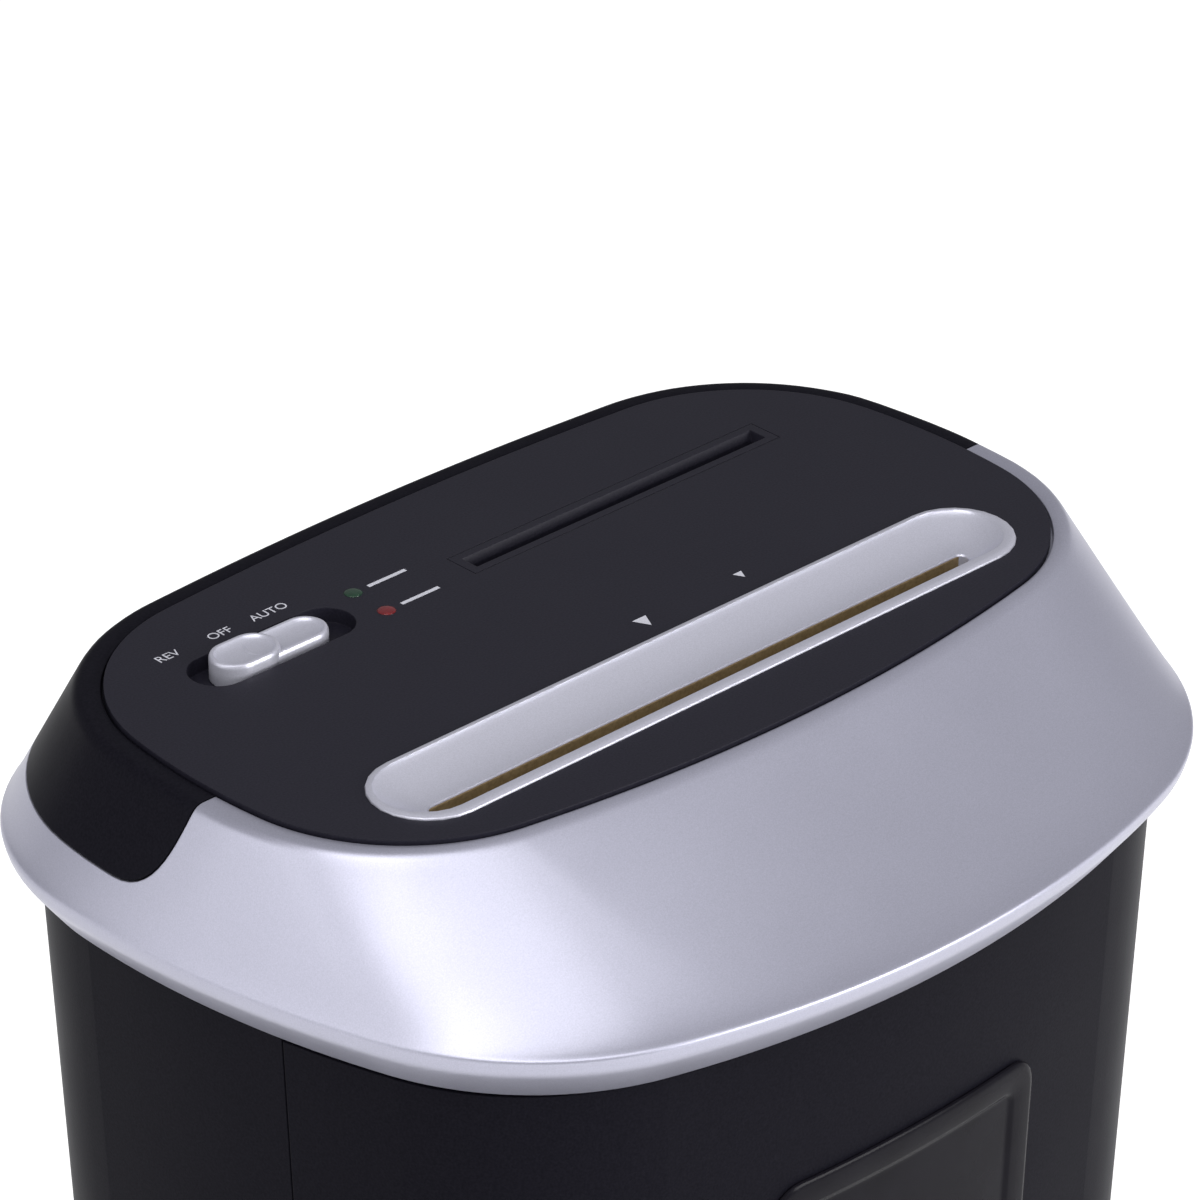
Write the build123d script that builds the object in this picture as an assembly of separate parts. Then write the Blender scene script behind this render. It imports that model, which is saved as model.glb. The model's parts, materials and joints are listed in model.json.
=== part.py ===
from build123d import *
import os
from dataclasses import dataclass, replace
from math import acos, atan2, cos, degrees, pi, radians, sin, sqrt, tan

# Frame: X to the right, Y to the back, Z up. The origin is on the floor under the middle of the head.

# Overall sizes of the shredder
overall_height = 530.0
head_width = 358.0
head_depth = 277.0
head_height = 62.5
foot_height = 8.0

# Moulded walls and the gaps between neighbouring pieces
wall = 3.0
fit_gap = 0.3
seam_gap = 0.5
slide_gap = 1.5
running_gap = 0.05

# Straight steps along each round stretch of a hidden hollow
arc_flats = 4

# Head: rim, shoulder, ledge and top panel
rim_tuck = 10.5
lip_tuck = 1.2
shoulder_drop = 45.0
lip_drop = 50.0
ledge_drop = 1.0
ledge_side = 8.0
ledge_front = 4.0
ledge_rear = 8.5
panel_side_inset = 26.0
panel_front_inset = 69.0
panel_rear_inset = 31.0
panel_thickness = 3.0
panel_groove = 0.8
seat_width = 5.0
seat_thickness = 3.0

# Rear cover: where its front edge crosses the ledge, where it ends below, and its rounded corner
cover_edge_y = 14.5
cover_corner_y = 25.0
cover_drop = 30.0
cover_corner_radius = 13.0
vent_count = 9
vent_width = 4.0
vent_pitch = 9.0
vent_height = 15.0

# Paper throat in the top panel
slot_y = -30.5
slot_length = 220.0
slot_width = 5.0
throat_length = 253.0
throat_width = 36.6
throat_y = -27.8
throat_lip = 2.0
throat_rim_height = 1.0
trough_depth = 6.0
guide_wall = 2.0
guide_gap = 1.9

# Disc chute in the top panel
disc_slot_x = 51.5
disc_slot_y = 62.5
disc_slot_length = 122.4
disc_slot_width = 5.0
chute_length = 130.0
chute_width = 13.0
chute_flange = 3.0
funnel_depth = 3.0

# Slide switch, its knob and the two indicator lenses
switch_x = -87.0
switch_y = 64.5
switch_pocket_length = 60.0
switch_pocket_width = 19.0
switch_pocket_depth = 5.0
knob_length = 42.0
knob_width = 16.0
knob_height = 8.0
knob_tall_length = 23.0
knob_low_step = 1.5
knob_shift = -1.0
knob_stem_length = 8.0
knob_stem_width = 4.0
knob_travel_left = 6.0
knob_travel_right = 8.0
switch_body_height = 8.0
lens_x = -48.0
lens_spread = 15.0
lens_y = 65.0
lens_size = 4.0
lens_height = 0.4

# Control board under the switch
board_length = 72.0
board_depth = 44.0
board_x = -75.0
board_y = 68.0
board_drop = 24.0
board_thickness = 1.6
board_post = 6.0
relay_place = (-11.0, 14.0)
relay_size = (18.0, 12.0, 11.0)
strip_place = (-2.0, -17.5)
strip_size = (36.0, 7.0, 9.0)

# Cabinet and bin
body_inset = 1.0
body_taper = 2.2
front_setback = 9.0
front_bow_radius = 500.0
front_corner = 76.0
side_seam_y = -23.0
floor_thickness = 4.0
jamb_depth = 10.0
jamb_thickness = 3.0
rail_height = 5.0
rail_width = 8.0
rail_x = 80.0
rail_length = 150.0
foot_size = 24.0
foot_x = 92.0
foot_y = 58.0
bucket_inset = 23.0
bucket_wall = 2.2
bucket_top_gap = 6.0
window_width = 110.0
window_height = 190.0
window_drop = 121.0
window_corner = 10.0
window_border = 7.0
window_inner_corner = 3.0
window_proud = 2.0
grip_width = 104.0
grip_height = 34.0
grip_drop = 42.0
grip_corner = 8.0
grip_depth = 17.0
bin_boss_size = 10.0
bin_boss_x = 84.0
bin_boss_low = 90.0
bin_boss_high = 380.0

# Head base and the well that holds the mechanism
base_thickness = 3.0
well_wall = 2.0
well_gap = 2.5
well_depth = 31.5
well_front = -88.0
well_rear = 108.0
chute_margin = 3.0

# Paper cutters
cutter_drop = 48.0
cutter_centres = 36.0
cutter_overlap = 6.0
cutter_radius = (cutter_centres + cutter_overlap) / 2
cutter_thickness = 7.2
cutter_side_gap = 0.2
hook_count = 2
hook_depth = 3.4
hook_throat = 7.0
hook_ramp = 45.0
rim_flats = 4
shaft_flats = 16.0
journal_radius = 7.0
drive_flats = 10.0
bush_flats = 20.0

# Strippers between the paper cutters
stripper_gap = 0.5
stripper_reach = 8.0
stripper_half_height = 14.0
stripper_mouth = 11.0
stripper_bar = 6.0
stripper_bar_gap = 3.0

# Disc cutters
disc_cutter_centres = 24.0
disc_cutter_radius = 14.0
disc_cutter_teeth = 8
disc_cutter_tooth_depth = 1.2
disc_cutter_count = 5
disc_cutter_gap = 0.3
disc_shaft_flats = 12.0
disc_journal_radius = 5.0
disc_drive_flats = 8.0
disc_bush_flats = 14.0

# Steel side plates, tie rods and bushes
plate_thickness = 2.5
plate_front = -82.0
plate_rear = 96.0
plate_top_drop = 18.0
plate_front_chamfer = 22.0
plate_slot_gap = 3.0
plate_side_gap = 2.0
disc_plate_gap = 3.3
bush_overhang = 1.0
rod_flats = 8.0
rod_half_spread_low = 35.5
rod_half_spread_high = 41.5
rod_drop_low = 30.0
rod_rise_high = 21.0
disc_rod_half_spread = 28.0
disc_rod_half_rise = 21.0

# Gears: straight spur teeth of short height, with play between the flanks
pressure_angle = 25.0
addendum = 0.8
dedendum = 1.05
flank_play = 0.12
gear_side_gap = 1.0
sync_teeth = 12
sync_face = 7.0
cross_teeth = 15
cross_face = 7.0
disc_sync_teeth = 12
final_module = 2.0
final_teeth = 32
final_pinion_teeth = 10
final_face = 7.0
middle_module = 1.9
middle_teeth = 24
middle_pinion_teeth = 8
middle_face = 5.0
first_module = 1.5
first_teeth = 24
motor_pinion_teeth = 8
first_face = 4.0
gear_pin_radius = 3.5
final_stage_angle = 20.0
middle_stage_angle = -40.0
first_stage_angle = -20.0
bracket_length = 50.0
bracket_height = 64.0
bracket_edge = 6.0
bracket_thickness = 2.0
bracket_post_flats = 6.0

# Motor and fan
motor_radius = 26.0
motor_length = 80.0
rotor_radius = 2.5
fan_radius = 25.0
fan_hub_flats = 14.0
fan_width = 9.0
fan_blades = 7
fan_blade_thickness = 1.6
fan_gap = 2.0
saddle_width = 24.0
saddle_half_depth = 20.0

# Paper sensor, interlock switch and cord gland
sensor_length = 12.0
sensor_depth = 5.0
sensor_height = 7.0
interlock_length = 22.0
interlock_height = 12.0
interlock_drop = 20.0
plunger_size = 4.0
plunger_travel = 3.0
plunger_margin = 2.0
gland_x = 70.0
gland_radius = 7.5
gland_bore_radius = 3.7
gland_length = 12.0
gland_rise = 9.0
gland_stand = 9.0

# Heights that follow from the sizes above
panel_top = overall_height
panel_under = panel_top - panel_thickness
ledge_top = panel_top - ledge_drop
shoulder_z = panel_top - shoulder_drop
lip_z = panel_top - lip_drop
rim_z = panel_top - head_height
floor_top = foot_height + floor_thickness
bin_top = rim_z - slide_gap
bin_bottom = floor_top + slide_gap
well_floor_under = rim_z - well_depth
well_floor = well_floor_under + base_thickness
bucket_top = well_floor_under - bucket_top_gap
bucket_bottom = floor_top + rail_height + fit_gap
cutter_z = panel_top - cutter_drop
plate_top = panel_top - plate_top_drop

# Places of the shafts, each as (y, z)
rear_shaft = (slot_y + cutter_centres / 2, cutter_z)
front_shaft = (slot_y - cutter_centres / 2, cutter_z)
disc_front_shaft = (disc_slot_y - disc_cutter_centres / 2, cutter_z)
disc_rear_shaft = (disc_slot_y + disc_cutter_centres / 2, cutter_z)

# Cutter stack, and the places of the plates, gears and brackets along X
cutter_gap = cutter_thickness + 2 * cutter_side_gap
cutter_pitch = cutter_thickness + cutter_gap
plate_inner = slot_length / 2 + plate_slot_gap
cutter_count = int(2 * (plate_inner - plate_side_gap) / cutter_pitch)
cutter_span = cutter_count * cutter_pitch
plate_outer = plate_inner + plate_thickness
bush_start = plate_inner - bush_overhang
bush_length = plate_thickness + 2 * bush_overhang
gear_start = bush_start + bush_length + gear_side_gap / 2
disc_plate_outer = disc_slot_x - disc_slot_length / 2 - disc_plate_gap
disc_plate_inner = disc_plate_outer - plate_thickness
cross_start = gear_start + sync_face + gear_side_gap
final_start = gear_start
middle_start = final_start + final_face + gear_side_gap
first_start = middle_start + middle_face + gear_side_gap
bracket_start = first_start + first_face + gear_side_gap
sync_module = cutter_centres / sync_teeth
disc_sync_module = disc_cutter_centres / disc_sync_teeth
cross_module = (disc_front_shaft[0] - rear_shaft[0]) / cross_teeth


def stepped(start, distance, angle):
    """The point at a distance and angle from a start point in the Y-Z plane."""
    return (start[0] + distance * cos(radians(angle)), start[1] + distance * sin(radians(angle)))


def centre_distance(module, teeth, other_teeth):
    """How far apart two meshed gears stand."""
    return module * (teeth + other_teeth) / 2


final_centres = centre_distance(final_module, final_teeth, final_pinion_teeth)
middle_centres = centre_distance(middle_module, middle_teeth, middle_pinion_teeth)
first_centres = centre_distance(first_module, first_teeth, motor_pinion_teeth)
second_pin = stepped(rear_shaft, final_centres, final_stage_angle)
first_pin = stepped(second_pin, middle_centres, middle_stage_angle)
motor_axis = stepped(first_pin, first_centres, first_stage_angle)


def crown_point(middle, start, end):
    """The point halfway along the arc between two points about a middle."""
    way = (start + end - middle * 2).normalized()
    return middle + way * (start - middle).length


@dataclass
class Outline:
    """A plan outline of four shallow arcs joined by rounded corners."""

    half_width: float
    front: float
    rear: float
    bow_y: float
    front_radius: float
    side_radius: float
    rear_radius: float
    corner: float
    rear_corner: float

    def grown(self, amount):
        """The parallel outline, outwards for a positive amount."""
        return replace(
            self,
            half_width=self.half_width + amount,
            front=self.front - amount,
            rear=self.rear + amount,
            front_radius=self.front_radius + amount,
            side_radius=self.side_radius + amount,
            rear_radius=self.rear_radius + amount,
            corner=self.corner + amount,
            rear_corner=self.rear_corner + amount,
        )

    def side_middle(self):
        """The centre of the right-hand side arc."""
        return Vector(self.half_width - self.side_radius, self.bow_y)

    def corner_points(self, end_middle, end_radius, corner):
        """The right-hand corner between an end arc and the side arc: its two ends and its crown."""
        end_reach = end_radius - corner
        side_reach = self.side_radius - corner
        apart = self.side_middle() - end_middle
        along = (end_reach**2 - side_reach**2 + apart.length**2) / (2 * apart.length)
        aside = sqrt(end_reach**2 - along**2)
        way = apart.normalized()
        foot = end_middle + way * along
        choices = [foot + Vector(-way.Y, way.X) * side * aside for side in (-1, 1)]
        middle = max(choices, key=lambda point: point.X)
        at_end = end_middle + (middle - end_middle).normalized() * end_radius
        at_side = self.side_middle() + (middle - self.side_middle()).normalized() * self.side_radius
        return [at_end, crown_point(middle, at_end, at_side), at_side]

    def points(self):
        """The ends and the crowns of the eight arcs in turn, from the left end of the front arc."""
        front_middle = Vector(0, self.front + self.front_radius)
        rear_middle = Vector(0, self.rear - self.rear_radius)
        at_front = self.corner_points(front_middle, self.front_radius, self.corner)
        at_rear = self.corner_points(rear_middle, self.rear_radius, self.rear_corner)[::-1]
        crown = crown_point(self.side_middle(), at_front[-1], at_rear[0])
        right = at_front + [crown] + at_rear
        left = [Vector(-point.X, point.Y) for point in reversed(right)]
        return [left[-1], Vector(0, self.front)] + right + [Vector(0, self.rear)] + left

    def arcs(self, height=0.0):
        """The eight arcs in turn at a height."""
        points = [point + Vector(0, 0, height) for point in self.points()]
        return [ThreePointArc(*points[i:i + 3]) for i in range(0, len(points) - 1, 2)]

    def face(self, height=0.0):
        """The outline as a flat face at a height."""
        return make_face(self.arcs(height))

    def corners(self, height=0.0):
        """Even steps along the arcs at a height, as the corners of a straight-sided outline."""
        return [arc @ (step / arc_flats) for arc in self.arcs(height) for step in range(arc_flats)]

    def straight_face(self):
        """The straight-sided outline as a flat face."""
        return make_face(Polyline(*self.corners(), close=True))


panel_line = Outline(
    half_width=head_width / 2 - panel_side_inset,
    front=panel_front_inset - head_depth / 2,
    rear=head_depth / 2 - panel_rear_inset,
    bow_y=18.5,
    front_radius=551.0,
    side_radius=224.0,
    rear_radius=1139.0,
    corner=61.5,
    rear_corner=61.5,
)
ledge_line = replace(
    panel_line,
    half_width=panel_line.half_width + ledge_side,
    front=panel_line.front - ledge_front,
    rear=panel_line.rear + ledge_rear,
    side_radius=panel_line.side_radius + ledge_side,
    corner=panel_line.corner + ledge_side,
    rear_corner=panel_line.rear_corner + ledge_side,
)
shoulder_line = Outline(
    half_width=head_width / 2,
    front=-head_depth / 2,
    rear=head_depth / 2,
    bow_y=41.5,
    front_radius=334.0,
    side_radius=327.0,
    rear_radius=1112.0,
    corner=96.0,
    rear_corner=81.0,
)
lip_line = shoulder_line.grown(-lip_tuck)
rim_line = shoulder_line.grown(-rim_tuck)
body_line = replace(
    rim_line.grown(-body_inset),
    front=rim_line.front + front_setback,
    front_radius=front_bow_radius,
    corner=front_corner,
)


def ring(outer, inner, height, thickness):
    """A flat ring between two outlines."""
    return extrude(outer.face(height) - inner.face(height), thickness)


def tucked(line, low, high, tuck):
    """A slice with an outline at its top and a smaller parallel outline at its bottom."""
    low_line = line.grown(-tuck)
    faces = [low_line.face(low).face(), line.face(high).face()]
    for low_arc, high_arc in zip(low_line.arcs(low), line.arcs(high)):
        slope = Line(low_arc @ 0, high_arc @ 0)
        turn = degrees(high_arc.length / high_arc.radius)
        faces.append(Face.revolve(slope.edge(), turn, Axis(high_arc.arc_center, (0, 0, 1))))
    return Solid(Shell(faces))


def flat_face(corners):
    """A flat face between corner points."""
    return make_face(Polyline(*corners, close=True)).face()


def straight_slice(low_line, low, high_line, high):
    """A plain straight-sided solid from one outline's corners up to another's."""
    low_corners = low_line.corners(low)
    high_corners = high_line.corners(high)
    faces = [flat_face(low_corners), flat_face(high_corners)]
    for i, low_corner in enumerate(low_corners):
        faces.append(flat_face([low_corners[i - 1], low_corner, high_corners[i]]))
        faces.append(flat_face([low_corners[i - 1], high_corners[i], high_corners[i - 1]]))
    return Solid(Shell(faces))


def body_line_at(grow, height):
    """The body's outline at a height, grown sideways."""
    return body_line.grown(grow - tan(radians(body_taper)) * (rim_z - height))


def body_core(grow, low, high):
    """A straight-sided slice that fits inside the tapered body."""
    return straight_slice(body_line_at(grow, low), low, body_line_at(grow, high), high)


def body_solid(grow, low, high):
    """A slice of the tapered body below the rim, grown sideways, between two heights."""
    return tucked(body_line_at(grow, high), low, high, tan(radians(body_taper)) * (high - low))


def along_x(sketch, start, length):
    """A sketch in Y and Z, drawn out along +X from a start."""
    return extrude(Plane.YZ.offset(start) * sketch, length)


def along_y(sketch, start, length):
    """A sketch in X and Z, drawn out along +Y from a start."""
    return extrude(Plane.XZ.offset(-start) * sketch, -length)


def hexagon(flats):
    """A hexagon by its width across the flats."""
    return RegularPolygon(flats / 2, 6, major_radius=False)


def block(low, high):
    """A box between two corners."""
    sizes = [b - a for a, b in zip(low, high)]
    return Pos(*low) * Box(*sizes, align=(Align.MIN, Align.MIN, Align.MIN))


def group(solids):
    """Several separate solids as one node."""
    return Compound(children=list(solids))


# Head shells


def head_form():
    """The head's outer form: the tucked-in band, the lip and the long sloped skirt."""
    band = tucked(lip_line, rim_z, lip_z, rim_tuck - lip_tuck)
    lip = tucked(shoulder_line, lip_z, shoulder_z, lip_tuck)
    skirt = loft([shoulder_line.face(shoulder_z), ledge_line.face(ledge_top)], ruled=True)
    return band + lip + skirt


def head_hollow():
    """The hollow inside the head's skin, with plain straight sides."""
    lip_inner = lip_line.grown(-wall)
    band = straight_slice(rim_line.grown(-wall), rim_z, lip_inner, lip_z)
    skirt = straight_slice(lip_inner, lip_z, ledge_line.grown(-wall), ledge_top - wall)
    return band + skirt


def head_shell():
    """The whole moulded skirt with its ledge and the seat for the top panel."""
    opening = extrude(panel_line.grown(panel_groove).face(panel_under - wall), 2 * wall)
    seat_low = panel_under - seat_thickness
    seat = ring(panel_line.grown(wall), panel_line.grown(-seat_width), seat_low, seat_thickness)
    return head_form() - head_hollow() - opening + seat


def cover_region(grow):
    """The side view of the rear cover, drawn across the whole head."""
    edge_top = (cover_edge_y - grow, panel_top + wall)
    corner = (cover_corner_y - grow, panel_top - cover_drop - grow)
    back_low = (head_depth, panel_top - cover_drop - grow)
    back_high = (head_depth, panel_top + wall)
    side = make_face(Polyline(edge_top, corner, back_low, back_high, close=True))
    rounded = side.vertices().sort_by_distance((corner[0], corner[1], 0))[0]
    side = fillet(rounded, cover_corner_radius)
    return along_x(side, -head_width, 2 * head_width)


def vents():
    """A row of upright cooling slots through the back of the rear cover."""
    low = panel_top - cover_drop + vent_width
    first = -vent_pitch * (vent_count - 1) / 2
    slot = Rectangle(vent_width, vent_height)
    places = [Pos(first + vent_pitch * i, low + vent_height / 2) for i in range(vent_count)]
    return along_y(Sketch() + [place * slot for place in places], panel_line.rear, head_depth)


def gland_profile(radius):
    """A disc in X and Z at the cord gland's place in the rear band."""
    return Pos(gland_x, rim_z + gland_rise) * Circle(radius)


def front_bezel(shell):
    """The painted skirt: the front, the sides and the band below the rear cover."""
    hole = along_y(gland_profile(gland_radius + fit_gap), panel_line.rear, head_depth)
    return shell - cover_region(seam_gap) - hole


def rear_cover(shell):
    """The dark upper part of the skirt and ledge, round the back."""
    return (shell & cover_region(0)) - vents()


def cord_gland():
    """A rubber grommet in the rear band, with the bore for the mains lead."""
    profile = gland_profile(gland_radius) - gland_profile(gland_bore_radius)
    return along_y(profile, rim_line.rear + gland_stand - gland_length, gland_length)


# Top panel and what sits in it


def switch_pocket(grow):
    """The plan of the switch pocket."""
    length = switch_pocket_length + 2 * grow
    return Pos(switch_x, switch_y) * SlotOverall(length, switch_pocket_width + 2 * grow)


def lens_places():
    """The two indicator lenses, the rear one first."""
    return [(lens_x, lens_y + lens_spread / 2), (lens_x, lens_y - lens_spread / 2)]


def board_corners():
    """The four screw posts of the control board."""
    half_length = board_length / 2 - board_post
    half_depth = board_depth / 2 - board_post
    return [(board_x + sx * half_length, board_y + sy * half_depth) for sx in (-1, 1) for sy in (-1, 1)]


def stem_run():
    """The length that the knob's stem needs to slide in."""
    return knob_stem_length + knob_travel_left + knob_travel_right + 2 * seam_gap


def stem_middle():
    """The middle of the stem's run along X."""
    return switch_x + knob_shift + (knob_travel_right - knob_travel_left) / 2


def top_panel():
    """The flat dark panel with its openings, the switch pocket and the board posts."""
    panel = extrude(panel_line.face(panel_under), panel_thickness)
    pocket_floor = panel_top - switch_pocket_depth
    cup_low = pocket_floor - guide_wall
    panel += extrude(Pos(0, 0, cup_low) * switch_pocket(guide_wall), panel_under - cup_low)
    panel -= extrude(Pos(0, 0, pocket_floor) * switch_pocket(0), switch_pocket_depth + wall)
    panel -= Pos(stem_middle(), switch_y, cup_low) * Box(stem_run(), knob_stem_width + 2 * seam_gap, 3 * wall)
    throat_hole = SlotOverall(throat_length - 2 * throat_lip, throat_width - 2 * throat_lip)
    panel -= extrude(Pos(0, throat_y, panel_under - wall) * throat_hole, 3 * wall)
    panel -= Pos(disc_slot_x, disc_slot_y, panel_under) * Box(chute_length, chute_width, 3 * wall)
    lens_hole = lens_size + 2 * running_gap
    for x, y in lens_places():
        panel -= Pos(x, y, panel_under) * Box(lens_hole, lens_hole, 3 * wall)
    post_low = panel_top - board_drop + board_thickness
    for x, y in board_corners():
        half = board_post / 2
        panel += block((x - half, y - half, post_low), (x + half, y + half, panel_under))
    return panel


def paper_throat():
    """The scooped inlet: a round-ended trough that narrows to the slot, and the guide walls below it."""
    body_length = throat_length - 2 * throat_lip - 2 * fit_gap
    body_width = throat_width - 2 * throat_lip - 2 * fit_gap
    trough_floor = panel_top - trough_depth
    body_low = trough_floor - guide_wall
    rim = extrude(Pos(0, throat_y, panel_top) * SlotOverall(throat_length, throat_width), throat_rim_height)
    body = extrude(Pos(0, throat_y, body_low) * SlotOverall(body_length, body_width), panel_top - body_low)
    mouth_top = panel_top + throat_rim_height
    mouth = SlotOverall(throat_length - 2 * throat_lip, throat_width - 2 * throat_lip)
    bottom = SlotOverall(slot_length + slot_width, slot_width)
    trough = loft([Pos(0, slot_y, trough_floor) * bottom, Pos(0, throat_y, mouth_top) * mouth], ruled=True)
    guide_low = guide_bottom(cutter_centres, cutter_radius, slot_width)
    guide_width = slot_width + 2 * guide_wall
    guide_length = slot_length + guide_wall
    guide = block((-guide_length / 2, slot_y - guide_width / 2, guide_low),
                  (guide_length / 2, slot_y + guide_width / 2, body_low))
    slot = block((-slot_length / 2, slot_y - slot_width / 2, guide_low - wall),
                 (slot_length / 2, slot_y + slot_width / 2, trough_floor + fit_gap))
    return rim + body + guide - trough - slot


def guide_bottom(centres, radius, width):
    """Height of a slot's guide walls at their lower edge, just above a pair of cutters."""
    reach = centres / 2 - width / 2 - guide_wall
    return cutter_z + sqrt(radius**2 - reach**2) + guide_gap


def disc_chute():
    """The narrow chute for optical discs: a plate in the panel, a funnel mouth and two guide walls."""
    plate_middle = panel_under + panel_thickness / 2
    plate = Pos(disc_slot_x, disc_slot_y, plate_middle) * Box(
        chute_length - 2 * fit_gap, chute_width - 2 * fit_gap, panel_thickness)
    flange = Pos(disc_slot_x, disc_slot_y, panel_under - guide_wall / 2) * Box(
        chute_length + 2 * chute_flange, chute_width + 2 * chute_flange, guide_wall)
    half_slot = disc_slot_width / 2
    half_length = disc_slot_length / 2
    guide_low = guide_bottom(disc_cutter_centres, disc_cutter_radius, disc_slot_width)
    guide = block((disc_slot_x - half_length, disc_slot_y - half_slot - guide_wall, guide_low),
                  (disc_slot_x + half_length, disc_slot_y + half_slot + guide_wall, panel_under))
    slot = block((disc_slot_x - half_length, disc_slot_y - half_slot, guide_low - wall),
                 (disc_slot_x + half_length, disc_slot_y + half_slot, panel_top + wall))
    funnel_foot = Rectangle(disc_slot_length, disc_slot_width)
    funnel_mouth = Rectangle(disc_slot_length + 2 * fit_gap, chute_width - 2 * wall)
    funnel = loft([
        Pos(disc_slot_x, disc_slot_y, panel_top - funnel_depth) * funnel_foot,
        Pos(disc_slot_x, disc_slot_y, panel_top) * funnel_mouth,
    ], ruled=True)
    return plate + flange + guide - slot - funnel


def switch_knob():
    """The two-lobed slider: a tall lobe, a lower lobe and the stem below."""
    x = switch_x + knob_shift
    low = panel_top - switch_pocket_depth + fit_gap
    base = extrude(Pos(x, switch_y, low) * SlotOverall(knob_length, knob_width), knob_height - knob_low_step)
    tall_x = x - (knob_length - knob_tall_length) / 2
    tall = extrude(Pos(tall_x, switch_y, low) * SlotOverall(knob_tall_length, knob_width), knob_height)
    stem = extrude(Pos(x, switch_y, panel_top - switch_pocket_depth - guide_wall - switch_body_height / 2)
                   * Rectangle(knob_stem_length, knob_stem_width), guide_wall + switch_body_height / 2 + wall)
    return base + tall + stem


def slide_switch():
    """The switch body below the pocket, with the channel that the stem runs in."""
    high = panel_top - switch_pocket_depth - guide_wall
    length = switch_pocket_length - 2 * board_post
    body_middle = high - switch_body_height / 2
    body = Pos(switch_x, switch_y, body_middle) * Box(length, knob_width, switch_body_height)
    channel_depth = switch_body_height / 2 + fit_gap
    channel = Pos(stem_middle(), switch_y, high - channel_depth / 2) * Box(
        stem_run(), knob_stem_width + 2 * seam_gap, channel_depth)
    return body - channel


def lens(place):
    """A light pipe from the board to the panel's face."""
    low = panel_top - board_drop + board_thickness
    height = panel_top + lens_height - low
    return Pos(*place, low + height / 2) * Box(lens_size, lens_size, height)


def board_item(place, size):
    """A box soldered on the control board."""
    standing = (Align.CENTER, Align.CENTER, Align.MIN)
    high = panel_top - board_drop + board_thickness
    return Pos(board_x + place[0], board_y + place[1], high) * Box(*size, align=standing)


def control_board():
    """The circuit board on its posts, with a relay and a terminal strip soldered on."""
    middle = panel_top - board_drop + board_thickness / 2
    board = Pos(board_x, board_y, middle) * Box(board_length, board_depth, board_thickness)
    return board + board_item(relay_place, relay_size) + board_item(strip_place, strip_size)


def paper_sensor():
    """The light gate: a lamp and a receiver on opposite sides of the paper guide."""
    half = slot_width / 2 + guide_wall
    low = guide_bottom(cutter_centres, cutter_radius, slot_width) + wall
    front = block((-sensor_length / 2, slot_y - half - sensor_depth, low),
                  (sensor_length / 2, slot_y - half, low + sensor_height))
    rear = block((-sensor_length / 2, slot_y + half, low),
                 (sensor_length / 2, slot_y + half + sensor_depth, low + sensor_height))
    return group([front, rear])


# Head base


def well_plan(inset):
    """The plan of the mechanism well, inside the body's outline."""
    depth = well_rear - well_front - 2 * inset
    band = Pos(0, (well_front + well_rear) / 2) * Rectangle(head_width, depth)
    return body_line.grown(-wall - well_gap - inset).straight_face() & band


def floor_opening(left, right, front, rear):
    """A rectangle between four sides, for the cut pieces to fall through."""
    return Pos((left + right) / 2, (front + rear) / 2) * Rectangle(right - left, rear - front)


def head_base():
    """The floor of the head: a plate inside the rim, with a well that the mechanism stands in."""
    half_span = cutter_span / 2
    paper_opening = floor_opening(-half_span, half_span, front_shaft[0] - cutter_radius - chute_margin,
                                  rear_shaft[0] + cutter_radius + chute_margin)
    disc_opening = floor_opening(disc_plate_outer + chute_margin, plate_inner - chute_margin,
                                 disc_front_shaft[0] - disc_cutter_radius,
                                 disc_rear_shaft[0] + disc_cutter_radius)
    floor_plan = well_plan(0) - paper_opening - disc_opening
    floor = extrude(Pos(0, 0, well_floor_under) * floor_plan, base_thickness)
    walls = extrude(Pos(0, 0, well_floor) * (well_plan(0) - well_plan(well_wall)), rim_z - well_floor)
    plate_plan = rim_line.grown(-wall - fit_gap).straight_face() - well_plan(well_wall)
    plate = extrude(Pos(0, 0, rim_z) * plate_plan, base_thickness)
    return floor + walls + plate


# Cutters


def cutter_disc():
    """One paper cutter in Y and Z: a rim of flats broken by hooks, on a hexagonal bore."""
    step = 2 * pi / hook_count
    ramp = radians(hook_ramp)
    points = []
    for i in range(hook_count):
        turn = i * step
        points.append(polar(cutter_radius, turn))
        points.append(polar(cutter_radius - hook_depth, turn + radians(hook_throat)))
        for k in range(rim_flats):
            points.append(polar(cutter_radius, turn + ramp + (step - ramp) * k / rim_flats))
    return make_face(Polyline(*points, close=True)) - hexagon(shaft_flats)


def polar(radius, angle):
    """A point by its radius and its angle in radians."""
    return (radius * cos(angle), radius * sin(angle))


def cutter_stack(axis, count, mirrored):
    """A shaft's cutters side by side, each turned one flat from the last."""
    disc = cutter_disc()
    if mirrored:
        disc = mirror(disc, about=Plane.YZ)
    first = -cutter_pitch * (count - 1) / 2 - cutter_thickness / 2
    solids = []
    for i in range(count):
        turned = Pos(*axis) * Rot(0, 0, 60 * (i % 2)) * disc
        solids.append(along_x(turned, first + i * cutter_pitch, cutter_thickness))
    return group(solids)


def hex_shaft(axis, flats, journal, drive, left, right):
    """A hexagonal shaft with round journals; each end is (journal start, journal end, drive end)."""
    shaft = along_x(Pos(*axis) * hexagon(flats), left[0], right[0] - left[0])
    for inner, outer, tip in (left, right):
        shaft += along_x(Pos(*axis) * Circle(journal), min(inner, outer), abs(outer - inner))
        if tip != outer:
            shaft += along_x(Pos(*axis) * hexagon(drive), min(outer, tip), abs(tip - outer))
    return shaft


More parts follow.
